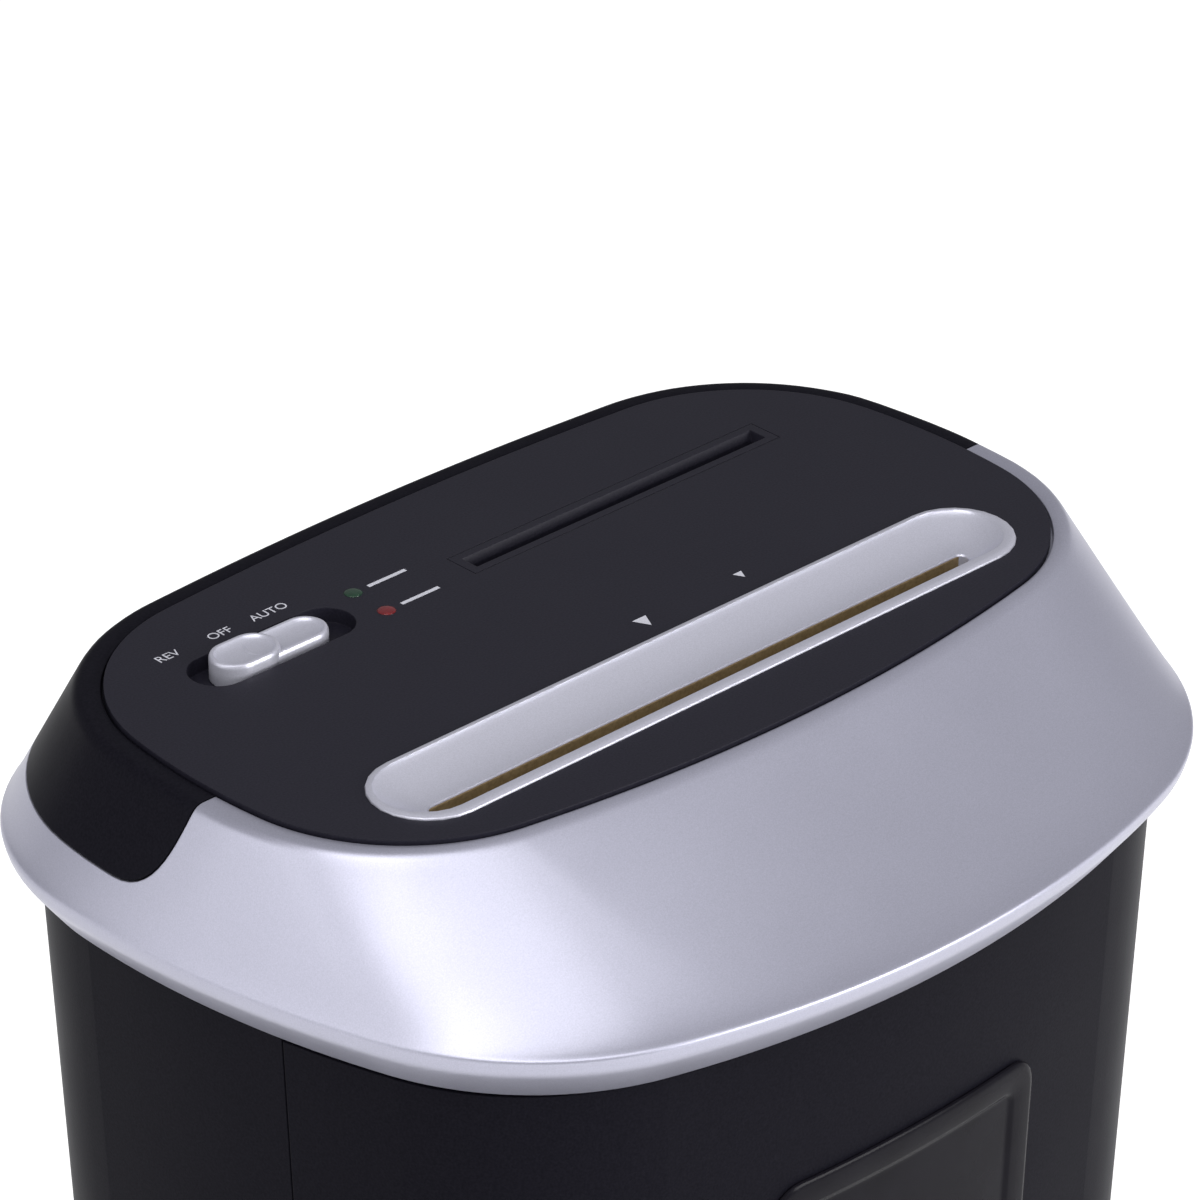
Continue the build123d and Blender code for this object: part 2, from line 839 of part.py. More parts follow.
def disc_cutter_face():
    """One optical-disc cutter in Y and Z: a toothed roller on a hexagonal bore."""
    points = []
    for i in range(disc_cutter_teeth):
        turn = 2 * pi * i / disc_cutter_teeth
        points.append(polar(disc_cutter_radius, turn))
        points.append(polar(disc_cutter_radius - disc_cutter_tooth_depth, turn + pi / disc_cutter_teeth))
    return make_face(Polyline(*points, close=True)) - hexagon(disc_shaft_flats)


def disc_cutters(axis, first):
    """Every second roller of the row, starting with the first or the second."""
    low = disc_plate_outer + chute_margin
    span = plate_inner - chute_margin - low
    pitch = span / disc_cutter_count
    face = Pos(*axis) * disc_cutter_face()
    starts = [low + pitch * i + disc_cutter_gap / 2 for i in range(first, disc_cutter_count, 2)]
    return group([along_x(face, start, pitch - disc_cutter_gap) for start in starts])


def stripper_comb(axis, count, toward_front):
    """A bar between the side plates with a forked finger in each gap between a shaft's cutters."""
    side = -1 if toward_front else 1
    bar_start = cutter_radius + stripper_bar_gap
    bar_end = bar_start + stripper_bar
    high = stripper_half_height
    mouth = stripper_mouth
    reach = -stripper_reach
    fork = [(bar_end, -high), (reach, -high), (reach, -mouth), (mouth, -mouth),
            (mouth, mouth), (reach, mouth), (reach, high), (bar_end, high)]
    fork_face = make_face(Polyline(*[(axis[0] + side * u, axis[1] + v) for u, v in fork], close=True))
    bar_y = sorted((axis[0] + side * bar_start, axis[0] + side * bar_end))
    comb = block((-plate_inner, bar_y[0], axis[1] - high), (plate_inner, bar_y[1], axis[1] + high))
    thickness = cutter_gap - 2 * stripper_gap
    first = -cutter_pitch * (count - 2) / 2 - thickness / 2
    fingers = [along_x(fork_face, first + i * cutter_pitch, thickness) for i in range(count - 1)]
    return comb + fingers


# Side plates, rods and bushes


def side_plate_face(holes):
    """A steel side plate in Y and Z, standing on the well floor, with hexagonal bush holes."""
    outline = make_face(Polyline(
        (plate_front, well_floor), (plate_rear, well_floor), (plate_rear, plate_top),
        (plate_front + plate_front_chamfer, plate_top),
        (plate_front, plate_top - plate_front_chamfer), close=True))
    for axis, flats in holes:
        outline -= Pos(*axis) * hexagon(flats)
    return outline


def paper_bush_axes():
    """The two paper shafts."""
    return [front_shaft, rear_shaft]


def disc_bush_axes():
    """The two disc-cutter shafts."""
    return [disc_front_shaft, disc_rear_shaft]


def left_plate():
    """The gear-side plate, which also carries the motor."""
    holes = [(axis, bush_flats) for axis in paper_bush_axes()]
    face = side_plate_face(holes) - Pos(*motor_axis) * Circle(rotor_radius + seam_gap)
    return along_x(face, -plate_outer, plate_thickness)


def right_plate():
    """The far plate, which carries both pairs of shafts."""
    holes = [(axis, bush_flats) for axis in paper_bush_axes()]
    holes += [(axis, disc_bush_flats) for axis in disc_bush_axes()]
    return along_x(side_plate_face(holes), plate_inner, plate_thickness)


def disc_plate():
    """The inner plate at the left end of the disc cutters."""
    half = disc_rod_half_spread + rod_flats
    low_height = plate_top - well_floor
    face = Pos(disc_slot_y, well_floor + low_height / 2) * Rectangle(2 * half, low_height)
    for axis in disc_bush_axes():
        face -= Pos(*axis) * hexagon(disc_bush_flats)
    return along_x(face, disc_plate_inner, plate_thickness)


def bush(axis, flats, bore, start):
    """A moulded bush, hexagonal outside so that it can't turn in its plate."""
    return along_x(Pos(*axis) * (hexagon(flats) - Circle(bore + running_gap)), start, bush_length)


def paper_bushes():
    """The four bushes of the paper shafts."""
    starts = (bush_start, -bush_start - bush_length)
    return group([bush(axis, bush_flats, journal_radius, start)
                  for axis in paper_bush_axes() for start in starts])


def disc_bushes():
    """The four bushes of the disc-cutter shafts."""
    starts = (bush_start, disc_plate_inner - bush_overhang)
    return group([bush(axis, disc_bush_flats, disc_journal_radius, start)
                  for axis in disc_bush_axes() for start in starts])


def rod_places():
    """The tie rods that hold the side plates apart."""
    low = cutter_z - rod_drop_low
    high = cutter_z + rod_rise_high
    return [(slot_y - rod_half_spread_low, low), (slot_y + rod_half_spread_low, low),
            (slot_y - rod_half_spread_high, high), (slot_y + rod_half_spread_high, high)]


def disc_rod_places():
    """The tie rods between the inner plate and the far plate."""
    return [(disc_slot_y + sy * disc_rod_half_spread, cutter_z + sz * disc_rod_half_rise)
            for sy in (-1, 1) for sz in (-1, 1)]


def tie_rods(places, start):
    """Hexagonal rods from a plate's face to the right plate."""
    return group([along_x(Pos(*place) * hexagon(rod_flats), start, plate_inner - start) for place in places])


# Gears


def involute(angle):
    """The involute function of a pressure angle in radians."""
    return tan(angle) - angle


def gear_face(module, teeth, aim, gap_at_aim):
    """A spur gear's outline, turned so that a tooth, or a gap, points along the aim in degrees."""
    pitch_radius = module * teeth / 2
    base_radius = pitch_radius * cos(radians(pressure_angle))
    tip_radius = pitch_radius + addendum * module
    root_radius = pitch_radius - dedendum * module
    flank_radius = max(base_radius, root_radius)
    pitch_half = pi / (2 * teeth) - flank_play / (2 * pitch_radius)
    zero_half = pitch_half + involute(radians(pressure_angle))
    tip_half = zero_half - involute(acos(base_radius / tip_radius))
    flank_half = zero_half - involute(acos(base_radius / flank_radius))
    turn = radians(aim) + (pi / teeth if gap_at_aim else 0)
    points = []
    for i in range(teeth):
        middle = turn + 2 * pi * i / teeth
        points.append(polar(root_radius, middle - flank_half))
        points.append(polar(tip_radius, middle - tip_half))
        points.append(polar(tip_radius, middle + tip_half))
        points.append(polar(root_radius, middle + flank_half))
    return make_face(Polyline(*points, close=True))


def aim_from(start, end):
    """The direction in degrees from one axis to another in Y and Z."""
    return atan2(end[1] - start[1], end[0] - start[0]) * 180 / pi


def shaft_gear(axis, module, teeth, mate, gap, start, face_width, drive):
    """A gear on a shaft's hexagonal end, with a tooth, or a gap, toward its mate."""
    tooth_face = gear_face(module, teeth, aim_from(axis, mate), gap) - hexagon(drive)
    return along_x(Pos(*axis) * tooth_face, start, face_width)


def front_sync_gear():
    """The front paper shaft's gear, outside the right plate."""
    return shaft_gear(front_shaft, sync_module, sync_teeth, rear_shaft, False,
                      gear_start, sync_face, drive_flats)


def rear_sync_gear():
    """The rear paper shaft's gear, in mesh with the front one."""
    return shaft_gear(rear_shaft, sync_module, sync_teeth, front_shaft, True,
                      gear_start, sync_face, drive_flats)


def cross_drive_gear():
    """The rear paper shaft's gear that drives the disc cutters."""
    return shaft_gear(rear_shaft, cross_module, cross_teeth, disc_front_shaft, False,
                      cross_start, cross_face, drive_flats)


def cross_driven_gear():
    """The front disc-cutter shaft's large gear."""
    return shaft_gear(disc_front_shaft, cross_module, cross_teeth, rear_shaft, True,
                      cross_start, cross_face, disc_drive_flats)


def disc_front_sync_gear():
    """The front disc-cutter shaft's small gear."""
    return shaft_gear(disc_front_shaft, disc_sync_module, disc_sync_teeth, disc_rear_shaft, False,
                      gear_start, sync_face, disc_drive_flats)


def disc_rear_sync_gear():
    """The rear disc-cutter shaft's small gear."""
    return shaft_gear(disc_rear_shaft, disc_sync_module, disc_sync_teeth, disc_front_shaft, True,
                      gear_start, sync_face, disc_drive_flats)


def final_gear():
    """The large gear on the rear paper shaft's left end."""
    return shaft_gear(rear_shaft, final_module, final_teeth, second_pin, False,
                      -final_start - final_face, final_face, drive_flats)


def double_gear(pin, pinion, pinion_start, wheel, wheel_start, wheel_width):
    """A pinion and a wheel in one piece, turning on a pin; the starts are outside the left plate."""
    bore = Circle(gear_pin_radius + running_gap)
    gear = along_x(Pos(*pin) * (pinion - bore), -wheel_start, wheel_start - pinion_start)
    return gear + along_x(Pos(*pin) * (wheel - bore), -wheel_start - wheel_width, wheel_width)


def second_gear():
    """The second reduction, whose pinion drives the final gear."""
    pinion = gear_face(final_module, final_pinion_teeth, aim_from(second_pin, rear_shaft), True)
    wheel = gear_face(middle_module, middle_teeth, aim_from(second_pin, first_pin), True)
    return double_gear(second_pin, pinion, final_start, wheel, middle_start, middle_face)


def first_gear():
    """The first reduction, whose wheel is in mesh with the motor's pinion."""
    pinion = gear_face(middle_module, middle_pinion_teeth, aim_from(first_pin, second_pin), False)
    wheel = gear_face(first_module, first_teeth, aim_from(first_pin, motor_axis), True)
    return double_gear(first_pin, pinion, final_start, wheel, first_start, first_face)


def gear_pins():
    """The two fixed pins, from the left plate to the outer bracket."""
    length = bracket_start - plate_outer
    return group([along_x(Pos(*pin) * Circle(gear_pin_radius), -bracket_start, length)
                  for pin in (first_pin, second_pin)])


def bracket_middle():
    """The middle of the outer gear bracket in Y and Z."""
    return ((first_pin[0] + second_pin[0]) / 2 + gear_pin_radius, cutter_z)


def gear_bracket():
    """The outer plate that holds the far ends of the gear pins."""
    face = Pos(*bracket_middle()) * Rectangle(bracket_length, bracket_height)
    return along_x(face, -bracket_start - bracket_thickness, bracket_thickness)


def bracket_posts():
    """Three posts that carry the outer bracket on the left plate."""
    y, z = bracket_middle()
    half_y = bracket_length / 2 - bracket_edge
    half_z = bracket_height / 2 - bracket_edge
    places = [(y - half_y, z - half_z), (y + half_y, z - half_z), (y + half_y, z + half_z)]
    post = hexagon(bracket_post_flats)
    length = bracket_start - plate_outer
    return group([along_x(Pos(*place) * post, -bracket_start, length) for place in places])


# Motor


def motor_start():
    """The motor's left face, against the left plate."""
    return -plate_inner


def motor_body():
    """The motor can, bored for its shaft."""
    profile = Circle(motor_radius) - Circle(rotor_radius + running_gap)
    return along_x(Pos(*motor_axis) * profile, motor_start(), motor_length)


def fan_start():
    """The fan's near face."""
    return motor_start() + motor_length + fan_gap


def motor_rotor():
    """The motor's shaft with its pinion cut in the left end."""
    pinion = gear_face(first_module, motor_pinion_teeth, aim_from(motor_axis, first_pin), False)
    left = -first_start - first_face
    rotor = along_x(Pos(*motor_axis) * pinion, left, first_face)
    return rotor + along_x(Pos(*motor_axis) * Circle(rotor_radius), left + first_face,
                           fan_start() + fan_width - left - first_face)


def cooling_fan():
    """A radial fan pressed on the motor's shaft."""
    hub = hexagon(fan_hub_flats) - Circle(rotor_radius)
    fan = along_x(Pos(*motor_axis) * hub, fan_start(), fan_width)
    blade_length = fan_radius - fan_hub_flats / 2 + fan_blade_thickness
    blade_middle = fan_radius - blade_length / 2
    for i in range(fan_blades):
        blade = Rot(0, 0, 360 * i / fan_blades) * Pos(blade_middle, 0) * Rectangle(
            blade_length, fan_blade_thickness)
        fan += along_x(Pos(*motor_axis) * blade, fan_start(), fan_width)
    return fan


def motor_saddle():
    """A cradle on the well floor under the motor's free end."""
    start = motor_start() + motor_length - 2 * saddle_width
    high = motor_axis[1] - motor_radius / 2
    low_height = high - well_floor
    face = Pos(motor_axis[0], well_floor + low_height / 2) * Rectangle(2 * saddle_half_depth, low_height)
    face -= Pos(*motor_axis) * Circle(motor_radius + fit_gap)
    return along_x(face, start, saddle_width)


# Cabinet and bin


def cabinet():
    """The rear shell: back and sides up to the side seams, with a turned-in jamb at each seam."""
    tube = body_solid(0, floor_top, rim_z) - body_core(-wall, floor_top, rim_z)
    behind_seam = block((-head_width, side_seam_y + seam_gap, 0), (head_width, head_depth, overall_height))
    jamb = body_core(-wall / 2, floor_top, bucket_top) - body_core(-wall - jamb_depth, floor_top, bucket_top)
    jamb_low = side_seam_y + seam_gap
    jamb &= block((-head_width, jamb_low, 0), (head_width, jamb_low + jamb_thickness, overall_height))
    return (tube & behind_seam) + jamb


def cabinet_floor():
    """The floor plate with the two rails that the bin runs on."""
    plate = body_solid(0, foot_height, floor_top)
    rail_middle = floor_top + rail_height / 2
    for side in (-1, 1):
        plate += Pos(side * rail_x, 0, rail_middle) * Box(rail_width, rail_length, rail_height)
    return plate


def feet():
    """Four rubber feet."""
    foot = Pos(0, 0, foot_height / 2) * Box(foot_size, foot_size, foot_height)
    return group([Pos(side_x * foot_x, side_y * foot_y) * foot for side_x in (-1, 1) for side_y in (-1, 1)])


def window_plan(border):
    """The window in X and Z, drawn in by a border."""
    middle = panel_top - window_drop - window_height / 2
    corner = max(window_corner - border, window_inner_corner)
    return Pos(0, middle) * RectangleRounded(window_width - 2 * border, window_height - 2 * border, corner)


def grip_middle():
    """Height of the middle of the finger grip."""
    return panel_top - window_drop - window_height - grip_drop


def grip_plan(grow):
    """The finger grip in X and Z."""
    return Pos(0, grip_middle()) * RectangleRounded(
        grip_width + 2 * grow, grip_height + 2 * grow, grip_corner + grow)


def through_front(plan):
    """A plan in X and Z, drawn out through the front of the body."""
    return along_y(plan, -head_depth, head_depth)


def bin_front():
    """The wrap-round front of the bin, with the window opening, the finger grip and the bucket's bosses."""
    outer = body_solid(0, bin_bottom, bin_top)
    front_of_seam = block((-head_width, -head_depth, 0), (head_width, side_seam_y, overall_height))
    skin = outer - body_core(-wall, bin_bottom, bin_top) - through_front(window_plan(window_border - fit_gap))
    cup = (outer - body_core(-grip_depth - wall, bin_bottom, bin_top)) & through_front(grip_plan(wall))
    cup -= through_front(grip_plan(0)) - body_core(-grip_depth, bin_bottom, bin_top)
    skin = skin - through_front(grip_plan(0)) + cup
    behind_skin = outer - body_core(-bucket_inset, bin_bottom, bin_top)
    boss = Rectangle(bin_boss_size, bin_boss_size)
    for x in (-bin_boss_x, bin_boss_x):
        for z in (bin_boss_low, bin_boss_high):
            skin += through_front(Pos(x, z) * boss) & behind_skin
    return skin & front_of_seam


def bin_window():
    """The smoked window: a plate on the front's face and a plug through its opening."""
    outer = body_solid(window_proud, bin_bottom, bin_top)
    plate = (outer - body_solid(0, bin_bottom, bin_top)) & through_front(window_plan(0))
    plug = (outer - body_core(-wall, bin_bottom, bin_top)) & through_front(window_plan(window_border))
    return plate + plug


def bin_bucket():
    """The bin's tapered bucket, cut away behind the window."""
    outer = body_core(-bucket_inset, bucket_bottom, bucket_top)
    inner = body_core(-bucket_inset - bucket_wall, bucket_bottom + bucket_wall, bucket_top)
    return outer - inner - through_front(window_plan(window_border))


# Interlock


def interlock_z():
    """Height of the interlock's plunger, near the bucket's top edge."""
    return bucket_top - interlock_drop


def rear_at(height, inset):
    """How far back the body reaches at a height, less an inset."""
    return body_line_at(-inset, height).rear


def interlock_switch():
    """The safety switch on the cabinet's back wall."""
    z = interlock_z()
    half = plunger_size / 2 + running_gap
    back = rear_at(z - interlock_height / 2, wall) - 2 * fit_gap
    front = rear_at(z, bucket_inset) + fit_gap + plunger_travel + plunger_margin
    body = block((-interlock_length / 2, front, z - interlock_height / 2),
                 (interlock_length / 2, back, z + interlock_height / 2))
    return body - block((-half, front - wall, z - half), (half, back - wall, z + half))


def interlock_plunger():
    """The plunger that the bucket's back wall presses in."""
    z = interlock_z()
    half = plunger_size / 2
    front = rear_at(z + half, bucket_inset) + fit_gap
    back = rear_at(z - interlock_height / 2, wall) - fit_gap - wall - plunger_travel - plunger_margin
    return block((-half, front, z - half), (half, back, z + half))


def build_nodes():
    """Every sub-part by name."""
    shell = head_shell()
    paper_tip = gear_start + sync_face
    cross_tip = cross_start + cross_face
    shaft_end = cutter_span / 2
    journal_end = bush_start + bush_length
    left_free = (-shaft_end, -journal_end, -journal_end)
    left_drive = (-shaft_end, -journal_end, -final_start - final_face)
    disc_left_end = disc_plate_outer + bush_overhang + fit_gap
    disc_left_out = disc_plate_inner - bush_overhang
    disc_left = (disc_left_end, disc_left_out, disc_left_out)
    right_end = plate_inner - bush_overhang - fit_gap
    front_count = cutter_count - 1
    return {
        "front_bezel": front_bezel(shell),
        "rear_cover": rear_cover(shell),
        "top_panel": top_panel(),
        "paper_throat": paper_throat(),
        "disc_chute": disc_chute(),
        "switch_knob": switch_knob(),
        "slide_switch": slide_switch(),
        "power_lens": lens(lens_places()[0]),
        "overheat_lens": lens(lens_places()[1]),
        "control_board": control_board(),
        "paper_sensor": paper_sensor(),
        "head_base": head_base(),
        "cord_gland": cord_gland(),
        "left_plate": left_plate(),
        "right_plate": right_plate(),
        "disc_plate": disc_plate(),
        "tie_rods": tie_rods(rod_places(), -plate_inner),
        "disc_tie_rods": tie_rods(disc_rod_places(), disc_plate_outer),
        "paper_bushes": paper_bushes(),
        "disc_bushes": disc_bushes(),
        "front_shaft": hex_shaft(front_shaft, shaft_flats, journal_radius, drive_flats,
                                 left_free, (shaft_end, journal_end, paper_tip)),
        "rear_shaft": hex_shaft(rear_shaft, shaft_flats, journal_radius, drive_flats,
                                left_drive, (shaft_end, journal_end, cross_tip)),
        "front_cutters": cutter_stack(front_shaft, front_count, True),
        "rear_cutters": cutter_stack(rear_shaft, cutter_count, False),
        "front_strippers": stripper_comb(front_shaft, front_count, True),
        "rear_strippers": stripper_comb(rear_shaft, cutter_count, False),
        "disc_front_shaft": hex_shaft(disc_front_shaft, disc_shaft_flats, disc_journal_radius,
                                      disc_drive_flats, disc_left, (right_end, journal_end, cross_tip)),
        "disc_rear_shaft": hex_shaft(disc_rear_shaft, disc_shaft_flats, disc_journal_radius,
                                     disc_drive_flats, disc_left, (right_end, journal_end, paper_tip)),
        "disc_front_cutters": disc_cutters(disc_front_shaft, 1),
        "disc_rear_cutters": disc_cutters(disc_rear_shaft, 0),
        "front_sync_gear": front_sync_gear(),
        "rear_sync_gear": rear_sync_gear(),
        "cross_drive_gear": cross_drive_gear(),
        "cross_driven_gear": cross_driven_gear(),
        "disc_front_sync_gear": disc_front_sync_gear(),
        "disc_rear_sync_gear": disc_rear_sync_gear(),
        "final_gear": final_gear(),
        "second_gear": second_gear(),
        "first_gear": first_gear(),
        "gear_pins": gear_pins(),
        "gear_bracket": gear_bracket(),
        "bracket_posts": bracket_posts(),
        "motor_body": motor_body(),
        "motor_rotor": motor_rotor(),
        "cooling_fan": cooling_fan(),
        "motor_saddle": motor_saddle(),
        "cabinet": cabinet(),
        "cabinet_floor": cabinet_floor(),
        "feet": feet(),
        "bin_front": bin_front(),
        "bin_window": bin_window(),
        "bin_bucket": bin_bucket(),
        "interlock_switch": interlock_switch(),
        "interlock_plunger": interlock_plunger(),
    }


os.makedirs("parts", exist_ok=True)
for name, shape in build_nodes().items():
    export_step(shape, f"parts/{name}.step")
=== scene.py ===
import json
from dataclasses import dataclass, replace
from math import atan2, cos, pi, radians, sin, sqrt, tan

import bmesh
import bpy
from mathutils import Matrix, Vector


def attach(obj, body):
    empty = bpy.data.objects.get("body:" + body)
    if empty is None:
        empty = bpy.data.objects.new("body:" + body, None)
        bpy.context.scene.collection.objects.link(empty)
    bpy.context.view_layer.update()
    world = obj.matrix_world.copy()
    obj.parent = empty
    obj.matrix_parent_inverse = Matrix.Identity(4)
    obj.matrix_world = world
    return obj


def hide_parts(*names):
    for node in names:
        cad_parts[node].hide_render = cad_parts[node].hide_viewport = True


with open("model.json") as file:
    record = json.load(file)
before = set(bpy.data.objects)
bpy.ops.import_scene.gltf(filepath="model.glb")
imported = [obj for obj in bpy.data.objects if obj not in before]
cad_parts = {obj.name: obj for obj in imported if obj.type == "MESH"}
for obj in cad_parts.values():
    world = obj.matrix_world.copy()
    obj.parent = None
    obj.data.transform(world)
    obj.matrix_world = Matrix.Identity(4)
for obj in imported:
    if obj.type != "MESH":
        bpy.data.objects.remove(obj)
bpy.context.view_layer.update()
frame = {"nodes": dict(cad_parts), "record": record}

# Sizes are in millimetres in the part's frame: X to the right, Y to the back, Z up
millimetre = 0.001

# Heights of the head
panel_top = 530.0
panel_under = 527.0
ledge_top = 529.0
shoulder_z = 485.0
lip_z = 480.0
rim_z = 467.5
wall = 3.0

# Hollow of the skirt's slope: over the front's whole height, at its foot, and all round the shoulder
bell_depth = 1.6
foot_sweep = 1.2
edge_sweep = 0.6

# How far a direction faces the front where the hollow starts, and until it is full
hollow_start = 0.38
hollow_span = 0.47

# Rear cover: its lower edge below the panel's top, and its vents
cover_drop = 30.0
vent_count = 9
vent_pitch = 9.0
vent_drop = 18.5

# From inside the head's back wall to behind it
rear_reach = (105.0, 160.0)

# Cabinet and bin: taper in degrees, faces at the head's rim, and the bows of those faces
body_taper = 2.2
body_front = -119.0
body_rear = 127.0
front_bow = 500.0
rear_bow = 1100.5
floor_under = 8.0

# Places on the panel
switch_y = 64.5
lamp_x = -48.0
lamp_rows = (72.5, 57.5)

# Angle in degrees from which an edge is shaded sharp
sharp_angle = 35.0

# Steps along the half outline: front, corner, side, corner, rear
outline_steps = (16, 22, 18, 22, 12)


# Mesh helpers


def outward_mesh(name, points, faces):
    """A mesh from points in millimetres, with its faces turned outwards."""
    mesh = bpy.data.meshes.new(name)
    mesh.from_pydata([Vector(point) * millimetre for point in points], [], faces)
    turned = bmesh.new()
    turned.from_mesh(mesh)
    bmesh.ops.recalc_face_normals(turned, faces=turned.faces)
    turned.to_mesh(mesh)
    turned.free()
    return mesh


def shaded(mesh):
    """Shades a mesh smooth, apart from its sharp edges."""
    mesh.shade_smooth()
    mesh.set_sharp_from_angle(angle=radians(sharp_angle))


def placed(name, mesh, body, slot):
    """A mesh as a piece of the object, riding on a body with a slot's finish."""
    piece = bpy.data.objects.new(name, mesh)
    bpy.context.scene.collection.objects.link(piece)
    shaded(mesh)
    mesh.materials.clear()
    mesh.materials.append(finishes[slot])
    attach(piece, body)
    return piece


def built(name, points, faces, body, slot):
    """A smooth piece from points in millimetres, riding on a body with a slot's finish."""
    return placed(name, outward_mesh(name, points, faces), body, slot)


def lofted(rings, joined=False):
    """Points and faces through rings of equal length: closed on itself, or capped at both ends."""
    count = len(rings[0])
    points = [point for ring in rings for point in ring]
    last = len(rings) if joined else len(rings) - 1
    faces = []
    for i in range(last):
        low = i * count
        high = (i + 1) % len(rings) * count
        for k in range(count):
            after = (k + 1) % count
            faces.append((low + k, low + after, high + after, high + k))
    if not joined:
        faces.append(tuple(range(count))[::-1])
        faces.append(tuple(range(len(points) - count, len(points))))
    return points, faces


def cut(piece, tool, operation):
    """Applies a boolean between a piece and a tool, and removes the tool."""
    step = piece.modifiers.new("cut", "BOOLEAN")
    step.operation = operation
    step.solver = "EXACT"
    step.object = tool
    graph = bpy.context.evaluated_depsgraph_get()
    mesh = bpy.data.meshes.new_from_object(piece.evaluated_get(graph))
    piece.modifiers.clear()
    old = piece.data
    piece.data = mesh
    bpy.data.meshes.remove(old)
    bpy.data.objects.remove(tool)
    return piece


def tool(points, faces):
    """A helper solid for a boolean, in millimetres."""
    solid = bpy.data.objects.new("tool", outward_mesh("tool", points, faces))
    bpy.context.scene.collection.objects.link(solid)
    return solid


# Finishes


def finish(name, dark, light, roughness, metallic=0.0, speckle=900.0, grain=0.02, stretch=(1, 1, 1),
           edge=0.5, coat=0.0, clear=0.0, sheen=0.5):
    """A finish with fine speckle in its colour, cloudy gloss, a surface grain and softened edges."""
    material = bpy.data.materials.new(name)
    material.use_nodes = True
    nodes = material.node_tree.nodes
    links = material.node_tree.links
    shader = nodes["Principled BSDF"]
    shader.inputs["Metallic"].default_value = metallic
    shader.inputs["Specular IOR Level"].default_value = sheen
    shader.inputs["Coat Weight"].default_value = coat
    shader.inputs["Coat Roughness"].default_value = 0.12
    shader.inputs["Transmission Weight"].default_value = clear
    where = nodes.new("ShaderNodeTexCoord")
    scaled = nodes.new("ShaderNodeMapping")
    scaled.inputs["Scale"].default_value = stretch
    links.new(where.outputs["Object"], scaled.inputs["Vector"])
    fine = nodes.new("ShaderNodeTexNoise")
    fine.inputs["Scale"].default_value = speckle
    fine.inputs["Detail"].default_value = 3.0
    links.new(scaled.outputs["Vector"], fine.inputs["Vector"])
    colours = nodes.new("ShaderNodeValToRGB")
    colours.color_ramp.elements[0].position = 0.3
    colours.color_ramp.elements[0].color = (*dark, 1)
    colours.color_ramp.elements[1].position = 0.7
    colours.color_ramp.elements[1].color = (*light, 1)
    links.new(fine.outputs["Fac"], colours.inputs["Fac"])
    links.new(colours.outputs["Color"], shader.inputs["Base Color"])
    cloud = nodes.new("ShaderNodeTexNoise")
    cloud.inputs["Scale"].default_value = 25.0
    cloud.inputs["Detail"].default_value = 4.0
    links.new(where.outputs["Object"], cloud.inputs["Vector"])
    gloss = nodes.new("ShaderNodeMapRange")
    gloss.inputs["To Min"].default_value = roughness - 0.05
    gloss.inputs["To Max"].default_value = roughness + 0.05
    links.new(cloud.outputs["Fac"], gloss.inputs["Value"])
    links.new(gloss.outputs["Result"], shader.inputs["Roughness"])
    soft_edge = nodes.new("ShaderNodeBevel")
    soft_edge.samples = 4
    soft_edge.inputs["Radius"].default_value = edge * millimetre
    relief = nodes.new("ShaderNodeBump")
    relief.inputs["Strength"].default_value = 0.5
    relief.inputs["Distance"].default_value = grain * millimetre
    links.new(fine.outputs["Fac"], relief.inputs["Height"])
    links.new(soft_edge.outputs["Normal"], relief.inputs["Normal"])
    links.new(relief.outputs["Normal"], shader.inputs["Normal"])
    return material


